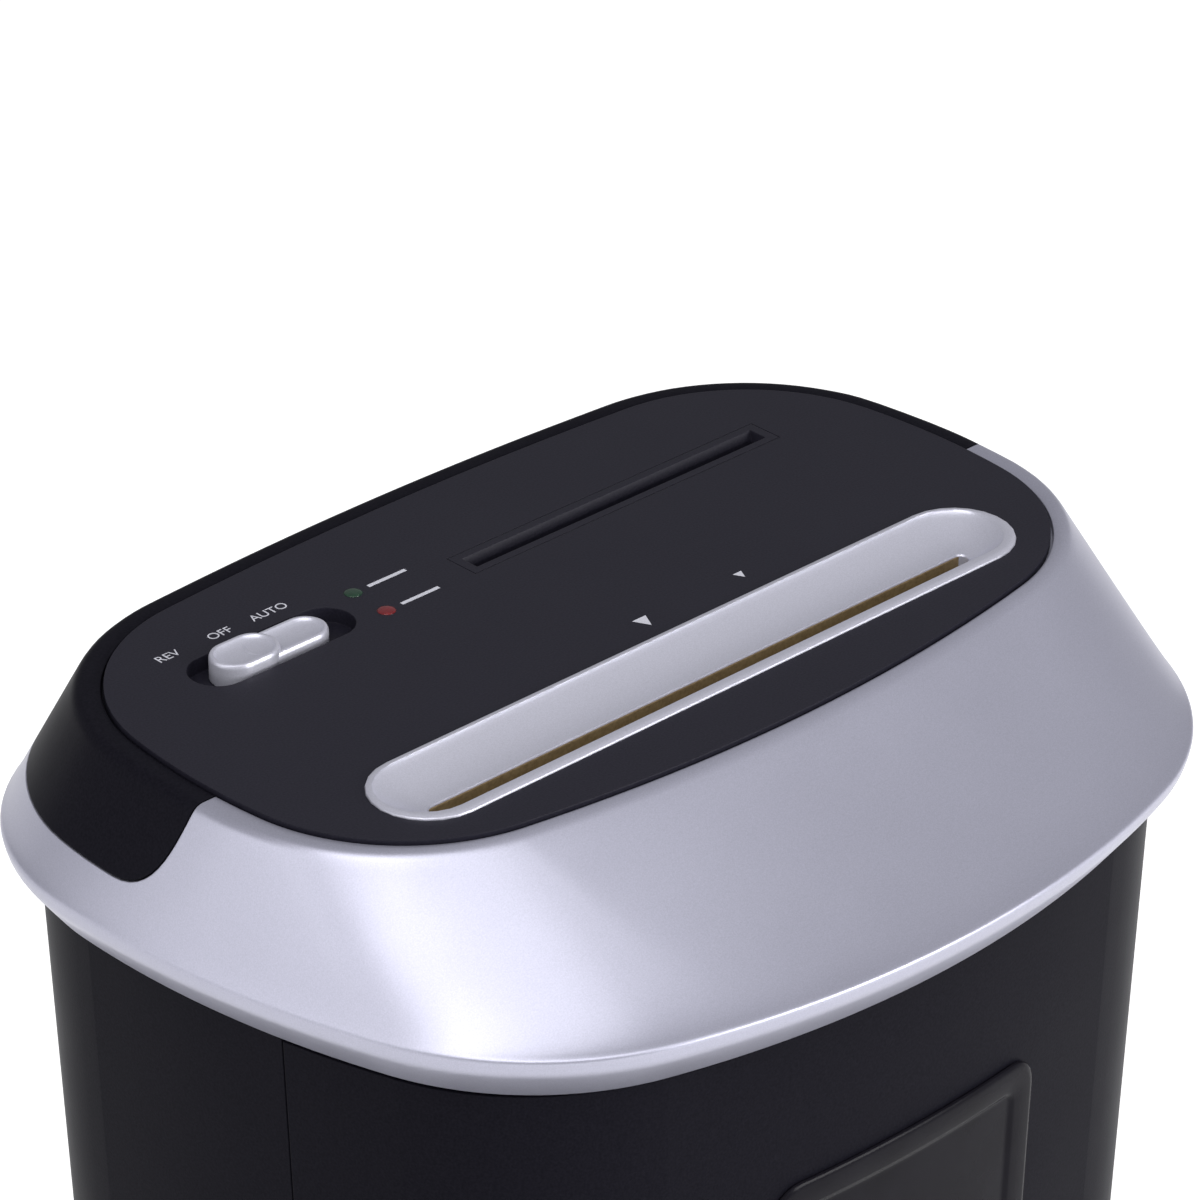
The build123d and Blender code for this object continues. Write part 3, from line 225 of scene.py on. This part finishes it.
finishes = {
    "silver_paint": finish(
        "silver_paint", (0.40, 0.40, 0.485), (0.47, 0.47, 0.565), 0.38,
        metallic=0.7, speckle=2400, grain=0.01, coat=0.12,
    ),
    "silver_trim": finish(
        "silver_trim", (0.53, 0.53, 0.61), (0.61, 0.61, 0.70), 0.34,
        metallic=0.5, speckle=2400, grain=0.01, coat=0.05,
    ),
    "charcoal_plastic": finish(
        "charcoal_plastic", (0.010, 0.0095, 0.016), (0.017, 0.016, 0.025), 0.45,
        speckle=1500, grain=0.04, sheen=0.16,
    ),
    "black_plastic": finish(
        "black_plastic", (0.006, 0.0058, 0.009), (0.010, 0.0095, 0.014), 0.4,
        speckle=1300, grain=0.05, sheen=0.02,
    ),
    "inner_plastic": finish(
        "inner_plastic", (0.030, 0.030, 0.034), (0.044, 0.044, 0.048), 0.55, grain=0.04,
    ),
    "bucket_plastic": finish(
        "bucket_plastic", (0.022, 0.022, 0.025), (0.034, 0.034, 0.037), 0.5, grain=0.05,
    ),
    "smoked_window": finish(
        "smoked_window", (0.007, 0.0063, 0.009), (0.010, 0.0093, 0.013), 0.2,
        speckle=60, grain=0.002, clear=0.05, sheen=0.035,
    ),
    "green_lens": finish(
        "green_lens", (0.008, 0.035, 0.018), (0.012, 0.05, 0.025), 0.15,
        speckle=600, grain=0.004, clear=0.2,
    ),
    "red_lens": finish(
        "red_lens", (0.14, 0.008, 0.012), (0.20, 0.014, 0.018), 0.15,
        speckle=600, grain=0.004, clear=0.2,
    ),
    "circuit_board": finish(
        "circuit_board", (0.02, 0.11, 0.05), (0.05, 0.20, 0.09), 0.4, speckle=350, grain=0.05,
    ),
    "rubber": finish(
        "rubber", (0.018, 0.018, 0.018), (0.034, 0.034, 0.034), 0.75, speckle=1100, grain=0.08,
    ),
    "plate_steel": finish(
        "plate_steel", (0.46, 0.47, 0.49), (0.62, 0.63, 0.65), 0.32,
        metallic=1.0, speckle=500, grain=0.01, stretch=(1, 0.08, 1),
    ),
    "rod_steel": finish(
        "rod_steel", (0.42, 0.42, 0.44), (0.58, 0.58, 0.60), 0.28,
        metallic=1.0, speckle=700, grain=0.01, stretch=(1, 0.1, 0.1),
    ),
    "cutter_steel": finish(
        "cutter_steel", (0.27, 0.27, 0.29), (0.42, 0.42, 0.44), 0.34,
        metallic=1.0, speckle=650, grain=0.015, stretch=(0.1, 1, 1),
    ),
    "gear_plastic": finish(
        "gear_plastic", (0.68, 0.66, 0.58), (0.80, 0.78, 0.70), 0.45, speckle=400, grain=0.02,
    ),
    "motor_paint": finish(
        "motor_paint", (0.07, 0.07, 0.075), (0.12, 0.12, 0.13), 0.45, speckle=800, grain=0.04,
    ),
}
printed = finish(
    "printed_marks", (0.50, 0.50, 0.56), (0.60, 0.60, 0.66), 0.5, speckle=3000, grain=0.005, edge=0.05,
)
slot_bronze = finish(
    "slot_bronze", (0.22, 0.15, 0.07), (0.32, 0.23, 0.11), 0.4, metallic=0.3, speckle=900,
)

for part in frame["record"]["subparts"]:
    mesh = frame["nodes"][part["node"]].data
    mesh.materials.clear()
    mesh.materials.append(finishes[part["material_slot"]])


# Head shells


@dataclass
class Outline:
    """A plan outline of four shallow arcs joined by rounded corners."""

    half_width: float
    front: float
    rear: float
    bow_y: float
    front_radius: float
    side_radius: float
    rear_radius: float
    corner: float
    rear_corner: float

    def grown(self, amount):
        """The parallel outline, outwards for a positive amount."""
        return replace(
            self,
            half_width=self.half_width + amount,
            front=self.front - amount,
            rear=self.rear + amount,
            front_radius=self.front_radius + amount,
            side_radius=self.side_radius + amount,
            rear_radius=self.rear_radius + amount,
            corner=self.corner + amount,
            rear_corner=self.rear_corner + amount,
        )

    def corner_middle(self, end_middle, end_radius, corner):
        """The centre of the right-hand corner between an end arc and the side arc."""
        side_middle = Vector((self.half_width - self.side_radius, self.bow_y))
        end_reach = end_radius - corner
        side_reach = self.side_radius - corner
        apart = side_middle - end_middle
        along = (end_reach**2 - side_reach**2 + apart.length_squared) / (2 * apart.length)
        aside = sqrt(end_reach**2 - along**2)
        way = apart.normalized()
        foot = end_middle + way * along
        across = Vector((-way.y, way.x)) * aside
        return max((foot + across, foot - across), key=lambda point: point.x)

    def arcs(self):
        """The right half's five arcs in turn, each as its middle, radius and last heading."""
        front_middle = Vector((0, self.front + self.front_radius))
        side_middle = Vector((self.half_width - self.side_radius, self.bow_y))
        rear_middle = Vector((0, self.rear - self.rear_radius))
        low = self.corner_middle(front_middle, self.front_radius, self.corner)
        high = self.corner_middle(rear_middle, self.rear_radius, self.rear_corner)
        return [
            (front_middle, self.front_radius, heading(low - front_middle)),
            (low, self.corner, heading(low - side_middle)),
            (side_middle, self.side_radius, heading(high - side_middle)),
            (high, self.rear_corner, heading(high - rear_middle)),
            (rear_middle, self.rear_radius, pi / 2),
        ]

    def at(self, turn):
        """The point of the right half whose outward direction has a heading."""
        for middle, radius, last in self.arcs():
            if turn <= last:
                break
        return middle + Vector((cos(turn), sin(turn))) * radius

    def points(self):
        """Points round the outline at the shared headings, from the middle of the front to the right."""
        right = [self.at(turn) for turn in headings]
        left = [Vector((-point.x, point.y)) for point in reversed(right[1:-1])]
        return right + left

    def ring(self, height):
        """The outline's points at a height."""
        return [Vector((point.x, point.y, height)) for point in self.points()]


def heading(way):
    """The direction of a vector in the plan, in radians."""
    return atan2(way.y, way.x)


panel_line = Outline(
    half_width=153.0, front=-69.5, rear=107.5, bow_y=18.5,
    front_radius=551.0, side_radius=224.0, rear_radius=1139.0, corner=61.5, rear_corner=61.5,
)
ledge_line = replace(
    panel_line, half_width=161.0, front=-73.5, rear=116.0, side_radius=232.0, corner=69.5, rear_corner=69.5,
)
shoulder_line = Outline(
    half_width=179.0, front=-138.5, rear=138.5, bow_y=41.5,
    front_radius=334.0, side_radius=327.0, rear_radius=1112.0, corner=96.0, rear_corner=81.0,
)
headings = [-pi / 2]
for steps, (middle, radius, last) in zip(outline_steps, shoulder_line.arcs()):
    first = headings[-1]
    headings += [first + (last - first) * (k + 1) / steps for k in range(steps)]
lip_line = shoulder_line.grown(-1.2)
rim_line = shoulder_line.grown(-10.5)


def rounded(before, corner, after, reach_before, reach_after, steps=4):
    """Rings that round a corner ring off towards the rings before and after it."""
    rings = []
    for k in range(steps + 1):
        t = k / steps
        ring = []
        for p, c, n in zip(before, corner, after):
            start = c + (p - c).normalized() * reach_before
            end = c + (n - c).normalized() * reach_after
            ring.append(start * (1 - t) ** 2 + c * (2 * t * (1 - t)) + end * t**2)
        rings.append(ring)
    return rings


def between(low, high, share):
    """The ring part of the way from one ring to another."""
    return [a.lerp(b, share) for a, b in zip(low, high)]


def eased(ring, rounds=8):
    """A closed ring whose bends flow into each other, without shrinking."""
    for _ in range(rounds):
        for pull in (0.5, -0.51):
            before = ring[-1:] + ring[:-1]
            after = ring[1:] + ring[:1]
            ring = [p + ((a + b) / 2 - p) * pull for a, p, b in zip(before, ring, after)]
    return ring


def swept(low, high, share):
    """The ring part of the way up the skirt, which sweeps out like a bell in front and at the shoulder."""
    rest = 1 - share
    in_front = bell_depth * 4 * share * rest + foot_sweep * (rest - rest**8)
    all_round = edge_sweep * (rest - rest**16)
    ring = between(low, high, share)
    depths = [in_front * part + all_round for part in front_parts()]
    return [point + bowl(a, b) * depth for point, a, b, depth in zip(ring, low, high, depths)]


def front_parts():
    """How much of the front's hollow each point round the head takes, from all to none."""
    right = []
    for turn in headings:
        part = min(max((-sin(turn) - hollow_start) / hollow_span, 0.0), 1.0)
        right.append(part**2 * (3 - 2 * part))
    return right + right[-2:0:-1]


def bowl(low, high):
    """The direction square to the skirt's slope, inwards and down."""
    slope = (high - low).normalized()
    level = Vector((slope.x, slope.y, 0)).normalized()
    return (level - slope * level.dot(slope)).normalized()


def head_rings():
    """The head's skirt in section, from the rim's inside out and up over the ledge, and back inside."""
    rim_in = rim_line.grown(-wall).ring(rim_z)
    rim_out = rim_line.ring(rim_z)
    lip_out = eased(lip_line.ring(lip_z))
    shoulder_out = eased(shoulder_line.ring(shoulder_z))
    ledge_out = eased(ledge_line.ring(ledge_top))
    groove_top = panel_line.grown(0.8).ring(ledge_top)
    groove_low = panel_line.grown(0.8).ring(panel_under)
    seat_in = panel_line.grown(-5.0).ring(panel_under)
    seat_low = panel_line.grown(-5.0).ring(panel_under - wall)
    under_ledge = ledge_line.grown(-wall).ring(ledge_top - 2 * wall)
    lip_in = lip_line.grown(-wall).ring(lip_z)
    rings = [rim_in]
    rings += rounded(rim_in, rim_out, lip_out, 0.8, 0.8, 2)
    rings += rounded(rim_out, lip_out, shoulder_out, 3.0, 1.6)
    shares = (
        0.035, 0.05, 0.065, 0.08, 0.1, 0.13, 0.17, 0.22,
        0.28, 0.36, 0.45, 0.55, 0.65, 0.75, 0.84, 0.91,
    )
    slope = [swept(shoulder_out, ledge_out, share) for share in shares]
    rings += rounded(lip_out, shoulder_out, slope[0], 1.4, 1.4)
    rings += slope
    rings += rounded(slope[-1], ledge_out, groove_top, 3.0, 2.4)
    rings += rounded(ledge_out, groove_top, groove_low, 0.6, 0.6, 2)
    rings += [groove_low, seat_in, seat_low, under_ledge, lip_in]
    return rings


def bend_point(bends, share):
    """The point part of the way along a smooth curve led by its bend points."""
    while len(bends) > 1:
        bends = [a.lerp(b, share) for a, b in zip(bends, bends[1:])]
    return bends[0]


def cover_region(grow):
    """A helper solid across the head, with the rear cover's side view."""
    low = panel_top - cover_drop - grow
    bends = [
        Vector((9.0 - grow, 534.0)),
        Vector((13.5 - grow, 531.0)),
        Vector((14.5 - grow, 511.0)),
        Vector((20.5 - grow, low)),
        Vector((36.0, low)),
    ]
    side = [bends[0]]
    steps = 16
    for k in range(1, steps + 1):
        side.append(bend_point(bends, k / steps))
    side += [Vector((200.0, low)), Vector((200.0, 534.0))]
    rings = [[Vector((x, point.x, point.y)) for point in side] for x in (-200.0, 200.0)]
    return tool(*lofted(rings))


def head_shells():
    """The silver skirt and the dark rear cover, parted by a fine seam."""
    skirt = built("silver_skirt", *lofted(head_rings(), joined=True), "frame", "silver_paint")
    cut(skirt, cover_region(0.5), "DIFFERENCE")
    cut(skirt, tool(*lofted([round_ring(7.8, y) for y in rear_reach])), "DIFFERENCE")
    cover = built("dark_cover", *lofted(head_rings(), joined=True), "frame", "black_plastic")
    cut(cover, cover_region(0.0), "INTERSECT")
    vent = rounded_rectangle(4.0, 15.0, 1.9)
    for i in range(vent_count):
        middle = Vector((vent_pitch * (i - (vent_count - 1) / 2), 0, panel_top - vent_drop))
        rings = [[middle + Vector((x, y, z)) for x, z in vent] for y in rear_reach]
        cut(cover, tool(*lofted(rings)), "DIFFERENCE")
    shaded(skirt.data)
    shaded(cover.data)
    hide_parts("front_bezel")
    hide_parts("rear_cover")


def round_ring(radius, y, x=70.0, z=476.5, steps=40):
    """A ring about the cord gland's axis."""
    turns = [2 * pi * k / steps for k in range(steps)]
    return [Vector((x + radius * cos(turn), y, z + radius * sin(turn))) for turn in turns]


def rounded_rectangle(width, height, radius, corner_steps=6, side_steps=1):
    """Points round a rectangle with rounded corners, centred on the origin."""
    arcs = []
    for turn, (sx, sz) in enumerate(((1, -1), (1, 1), (-1, 1), (-1, -1))):
        middle = Vector((sx * (width / 2 - radius), sz * (height / 2 - radius)))
        angles = [pi / 2 * (turn - 1 + k / corner_steps) for k in range(corner_steps + 1)]
        arcs.append([middle + Vector((cos(angle), sin(angle))) * radius for angle in angles])
    points = []
    for i, arc in enumerate(arcs):
        points += arc
        after = arcs[(i + 1) % 4][0]
        points += [arc[-1].lerp(after, k / side_steps) for k in range(1, side_steps)]
    return points


head_shells()


# Paper throat


def obround(length, width, place, height, straight=24, round_steps=12):
    """A ring of points round a slot shape at a height, from its front left end."""
    half = (length - width) / 2
    points = []
    for side in (1, -1):
        for k in range(straight):
            along = place[0] + side * half * (2 * k / straight - 1)
            points.append(Vector((along, place[1] - side * width / 2, height)))
        for k in range(round_steps):
            turn = pi * (k / round_steps - 0.5) + (0 if side > 0 else pi)
            end = Vector((place[0] + side * half, place[1], height))
            points.append(end + Vector((cos(turn), sin(turn), 0)) * width / 2)
    return points


def paper_throat():
    """The scooped inlet: a rolled rim, a hollow slope down to the slot, and the guide walls below."""
    outside = (0.0, -27.8)
    mouth = (0.0, -26.6)
    slot = (0.0, -30.5)
    slot_length = 220.0
    slot_width = 5.0
    rings = [obround(slot_length, slot_width, slot, 499.5), obround(slot_length, slot_width, slot, 523.4)]
    steps = 8
    for k in range(steps + 1):
        t = k / steps
        length = slot_length + 0.8 + (246.0 - slot_length - 0.8) * t
        width = slot_width + 0.8 + (29.4 - slot_width - 0.8) * t
        middle = (0.0, slot[1] + (mouth[1] - slot[1]) * t)
        rings.append(obround(length, width, middle, 523.9 + 6.2 * t**1.3))
    rings.append(obround(247.2, 30.4, mouth, 530.7))
    rings.append(obround(249.0, 32.2, outside, 531.0))
    rings.append(obround(251.4, 34.8, outside, 530.95))
    rings.append(obround(252.6, 36.2, outside, 530.6))
    rings.append(obround(253.0, 36.6, outside, 530.0))
    rings.append(obround(248.4, 32.0, outside, 530.0))
    rings.append(obround(248.4, 32.0, outside, 522.0))
    rings.append(obround(222.0, 9.0, slot, 522.0))
    rings.append(obround(222.0, 9.0, slot, 499.5))
    inlet = built("throat_inlet", *lofted(rings, joined=True), "frame", "silver_trim")
    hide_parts("paper_throat")
    strip = [obround(219.0, 0.5, (0.0, -28.2), height) for height in (505.0, 523.2)]
    liner = built("slot_liner", *lofted(strip), "frame", "inner_plastic")
    liner.data.materials[0] = slot_bronze


paper_throat()


# Slide switch and lamps


def lobe(name, x, length, width, top):
    """One lobe of the slider: rounded shoulders round a dished finger pad."""
    place = (x, switch_y)
    sizes = (
        (0.0, 525.3), (0.0, top - 1.6), (0.25, top - 0.8), (0.9, top - 0.2), (1.8, top), (3.0, top - 0.05),
        (3.8, top - 0.5), (5.2, top - 1.1), (8.0, top - 1.5), (11.0, top - 1.65), (width - 1.5, top - 1.7),
    )
    rings = [obround(length - inset, width - inset, place, height, 12, 16) for inset, height in sizes]
    return built(name, *lofted(rings), "knob", "silver_trim")


def slider():
    """The two-lobed slider of the switch."""
    tall = lobe("slider_tall_lobe", -97.5, 23.0, 16.0, 533.3)
    lobe("slider_low_lobe", -82.0, 30.0, 14.4, 531.8)
    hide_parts("switch_knob")


def lamp_cap(name, y, node, slot):
    """A round indicator cap on its light pipe."""
    sizes = (
        (1.9, 507.6), (1.9, 529.9), (2.9, 530.0), (2.75, 530.15),
        (2.2, 530.28), (1.3, 530.37), (0.4, 530.4),
    )
    steps = 24
    turns = [2 * pi * k / steps for k in range(steps)]
    rings = []
    for radius, height in sizes:
        plan = [(lamp_x + radius * cos(turn), y + radius * sin(turn)) for turn in turns]
        rings.append([Vector((*point, height)) for point in plan])
    cap = built(name, *lofted(rings), "frame", slot)
    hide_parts(node)


slider()
lamp_cap("green_cap", lamp_rows[0], "power_lens", "green_lens")
lamp_cap("red_cap", lamp_rows[1], "overheat_lens", "red_lens")


# Printed marks on the panel


def mark(name, outline):
    """A thin printed shape on the panel, from its outline in X and Y."""
    heights = (panel_top - 0.1, panel_top + 0.04)
    rings = [[Vector((x, y, height)) for x, y in outline] for height in heights]
    piece = built(name, *lofted(rings), "frame", "charcoal_plastic")
    piece.data.materials[0] = printed
    return piece


def word(name, letters, x, y, height):
    """A short plain word by the switch, as flat printed letters."""
    curve = bpy.data.curves.new(name, "FONT")
    curve.body = letters
    curve.size = height * millimetre
    curve.align_x = "CENTER"
    curve.extrude = 0.03 * millimetre
    holder = bpy.data.objects.new(name, curve)
    bpy.context.scene.collection.objects.link(holder)
    graph = bpy.context.evaluated_depsgraph_get()
    mesh = bpy.data.meshes.new_from_object(holder.evaluated_get(graph))
    bpy.data.objects.remove(holder)
    for vertex in mesh.vertices:
        vertex.co += Vector((x, y, panel_top)) * millimetre
    piece = placed(name, mesh, "frame", "charcoal_plastic")
    piece.data.materials[0] = printed


def panel_marks():
    """Two feed triangles, the switch's words and a bar beside each lamp."""
    for i, (x, y, size) in enumerate(((3.0, -0.5, 5.5), (44.0, 0.5, 3.5))):
        half = size / 2
        mark(f"feed_mark_{i}", [(x - half, y + half), (x, y - half), (x + half, y + half)])
    for letters, x in (("REV", -113.0), ("OFF", -93.0), ("AUTO", -74.0)):
        word("word_" + letters.lower(), letters, x, 79.5, 5.0)
    for i, y in enumerate(lamp_rows):
        bar = [(-42.0, y - 0.7), (-27.0, y - 0.7), (-27.0, y + 0.7), (-42.0, y + 0.7)]
        mark(f"lamp_bar_{i}", bar)


panel_marks()


# Bin window


def tuck_at(height):
    """How far the tapered body is drawn in at a height."""
    return tan(radians(body_taper)) * (rim_z - height)


def front_at(x, height, proud):
    """How far forward the bin's front reaches at a place, with a piece standing proud of it."""
    tuck = tuck_at(height)
    radius = front_bow - tuck + proud
    return body_front + tuck - proud + radius - sqrt(radius**2 - x**2)


def window_ring(inset, proud):
    """A ring of the window, drawn in by an inset and standing proud of the bin's front."""
    width = 110.0 - 2 * inset
    height = 190.0 - 2 * inset
    radius = max(10.0 - inset * 0.6, 0.9)
    middle = 314.0
    plan = rounded_rectangle(width, height, radius, 6, 14)
    return [Vector((x, front_at(x, middle + z, proud), middle + z)) for x, z in plan]


def bin_window():
    """The smoked window: a bevelled border round a sunken pane, and a plug through the opening."""
    insets = (12.0, 20.0, 29.0, 38.0, 47.0, 53.5)
    rings = [window_ring(inset, -2.9) for inset in reversed(insets)]
    rings += [window_ring(7.0, -2.9), window_ring(7.0, 0.05), window_ring(0.3, 0.05)]
    rings += [window_ring(0.0, 0.5), window_ring(0.2, 1.3), window_ring(0.9, 1.85), window_ring(2.0, 2.0)]
    rings += [window_ring(8.5, 1.7), window_ring(9.4, 1.5), window_ring(10.2, 0.9), window_ring(11.0, 0.7)]
    rings += [window_ring(inset, 0.7) for inset in insets]
    pane = built("smoked_pane", *lofted(rings), "bin", "smoked_window")
    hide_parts("bin_window")


bin_window()


# Feet and cord gland


def feet():
    """Four rounded rubber pads with a stepped edge."""
    sizes = ((3.0, 0.0), (1.2, 0.3), (0.3, 1.0), (0.0, 2.0), (0.0, 4.2), (1.6, 4.4), (1.6, 8.0))
    for i, (sx, sy) in enumerate(((-1, -1), (1, -1), (1, 1), (-1, 1))):
        rings = []
        for inset, height in sizes:
            plan = rounded_rectangle(24.0 - 2 * inset, 24.0 - 2 * inset, 6.0 - inset, 6)
            rings.append([Vector((sx * 92.0 + x, sy * 58.0 + y, height)) for x, y in plan])
        pad = built(f"foot_{i}", *lofted(rings), "frame", "rubber")
        if i == 0:
            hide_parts("feet")


def cord_gland():
    """The rubber grommet with two grip ribs round its sleeve."""
    sizes = (
        (3.7, 125.0), (7.5, 125.0), (7.5, 134.2), (7.1, 134.6), (7.1, 135.2), (7.4, 135.5), (7.4, 136.0),
        (6.9, 136.3), (6.4, 136.8), (5.6, 137.0), (4.1, 137.0), (3.7, 136.6),
    )
    rings = [round_ring(radius, y) for radius, y in sizes]
    sleeve = built("gland_sleeve", *lofted(rings, joined=True), "frame", "rubber")
    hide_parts("cord_gland")


feet()
cord_gland()


# Screws


def rear_at(x, height):
    """How far back the cabinet reaches at a place."""
    tuck = tuck_at(height)
    radius = rear_bow - tuck
    return body_rear - tuck - radius + sqrt(radius**2 - x**2)


def screw(name, place, way):
    """A domed screw head with a cross recess, seated at a place and facing a direction."""
    side = way.orthogonal().normalized()
    other = way.cross(side)
    radius = 3.6
    steps = 32
    turns = [2 * pi * k / steps for k in range(steps)]

    def ring(plan, height):
        return [place + side * x + other * y + way * height for x, y in plan]

    profile = ((1.0, -1.5), (1.0, 0.4), (0.95, 0.75), (0.82, 1.05), (0.6, 1.28), (0.3, 1.4))
    rings = []
    for share, height in profile:
        plan = [(radius * share * cos(turn), radius * share * sin(turn)) for turn in turns]
        rings.append(ring(plan, height))
    head = built(name, *lofted(rings), "frame", "rod_steel")
    for reach, half_width in ((2.2, 0.5), (0.5, 2.2)):
        plan = [(-reach, -half_width), (reach, -half_width), (reach, half_width), (-reach, half_width)]
        cut(head, tool(*lofted([ring(plan, 0.3), ring(plan, 3.0)])), "DIFFERENCE")
    shaded(head.data)


def screws():
    """Four screws in the cabinet's back and four in its floor."""
    for i, (x, z) in enumerate(((-88.0, 440.0), (88.0, 440.0), (-78.0, 40.0), (78.0, 40.0))):
        screw(f"back_screw_{i}", Vector((x, rear_at(x, z), z)), Vector((0, 1, 0)))
    for i, (x, y) in enumerate(((-116.0, -66.0), (116.0, -66.0), (-116.0, 74.0), (116.0, 74.0))):
        screw(f"floor_screw_{i}", Vector((x, y, floor_under)), Vector((0, 0, -1)))


screws()


# Floor, light and camera


def flat_floor():
    """A plain pale floor that shows white to the camera and keeps the object's shadow."""
    reach = 8.0
    mesh = bpy.data.meshes.new("studio_floor")
    corners = [(-reach, -reach, 0), (reach, -reach, 0), (reach, reach, 0), (-reach, reach, 0)]
    mesh.from_pydata(corners, [], [(0, 1, 2, 3)])
    floor = bpy.data.objects.new("studio_floor", mesh)
    bpy.context.scene.collection.objects.link(floor)
    material = bpy.data.materials.new("studio_floor")
    material.use_nodes = True
    nodes = material.node_tree.nodes
    links = material.node_tree.links
    shader = nodes["Principled BSDF"]
    shader.inputs["Base Color"].default_value = (0.62, 0.62, 0.62, 1)
    shader.inputs["Roughness"].default_value = 0.9
    shader.inputs["Specular IOR Level"].default_value = 0.0
    shader.inputs["Emission Color"].default_value = (1, 1, 1, 1)
    links.new(seen_rays(nodes, links, 0.72), shader.inputs["Emission Strength"])
    mesh.materials.append(material)


def seen_rays(nodes, links, strength):
    """A value that is the strength for camera, glossy and transmission rays, and nothing for the rest."""
    path = nodes.new("ShaderNodeLightPath")
    first = nodes.new("ShaderNodeMath")
    first.operation = "MAXIMUM"
    links.new(path.outputs["Is Camera Ray"], first.inputs[0])
    links.new(path.outputs["Is Glossy Ray"], first.inputs[1])
    second = nodes.new("ShaderNodeMath")
    second.operation = "MAXIMUM"
    links.new(first.outputs["Value"], second.inputs[0])
    links.new(path.outputs["Is Transmission Ray"], second.inputs[1])
    scaled = nodes.new("ShaderNodeMath")
    scaled.operation = "MULTIPLY"
    scaled.inputs[1].default_value = strength
    links.new(second.outputs["Value"], scaled.inputs[0])
    return scaled.outputs["Value"]


def softbox(name, place, aim, width, height, power):
    """A rectangular area lamp turned towards a point, in metres."""
    lamp = bpy.data.lights.new(name, "AREA")
    lamp.shape = "RECTANGLE"
    lamp.size = width
    lamp.size_y = height
    lamp.energy = power
    holder = bpy.data.objects.new(name, lamp)
    holder.location = place
    holder.rotation_euler = (Vector(aim) - Vector(place)).to_track_quat("-Z", "Y").to_euler()
    bpy.context.scene.collection.objects.link(holder)


def studio():
    """The world's soft light, the lamps and the camera."""
    world = bpy.data.worlds.new("studio")
    world.use_nodes = True
    background = world.node_tree.nodes["Background"]
    background.inputs["Color"].default_value = (0.5, 0.5, 0.52, 1)
    background.inputs["Strength"].default_value = 0.68
    bpy.context.scene.world = world
    head = (0.0, -0.05, 0.5)
    softbox("key", (-0.53, -0.74, 1.90), head, 2.0, 1.2, 15.5)
    softbox("corner", (-1.10, -0.55, 1.70), head, 0.9, 0.9, 4.4)
    softbox("side", (-1.60, -0.20, 1.15), head, 0.9, 0.9, 3.5)
    softbox("low_side", (-1.80, 0.60, 0.75), head, 1.2, 0.8, 4.1)
    softbox("fill", (0.90, -2.10, 1.10), head, 1.2, 1.0, 43)
    camera = bpy.data.cameras.new("camera")
    camera.sensor_width = 36.0
    camera.lens = 178.95
    holder = bpy.data.objects.new("camera", camera)
    holder.location = (-1.0730, -1.1105, 1.3900)
    holder.rotation_euler = Vector((0.604, 0.634, -0.483)).to_track_quat("-Z", "Y").to_euler()
    bpy.context.scene.collection.objects.link(holder)
    bpy.context.scene.camera = holder
    bpy.context.scene.view_settings.view_transform = "Standard"


flat_floor()
studio()
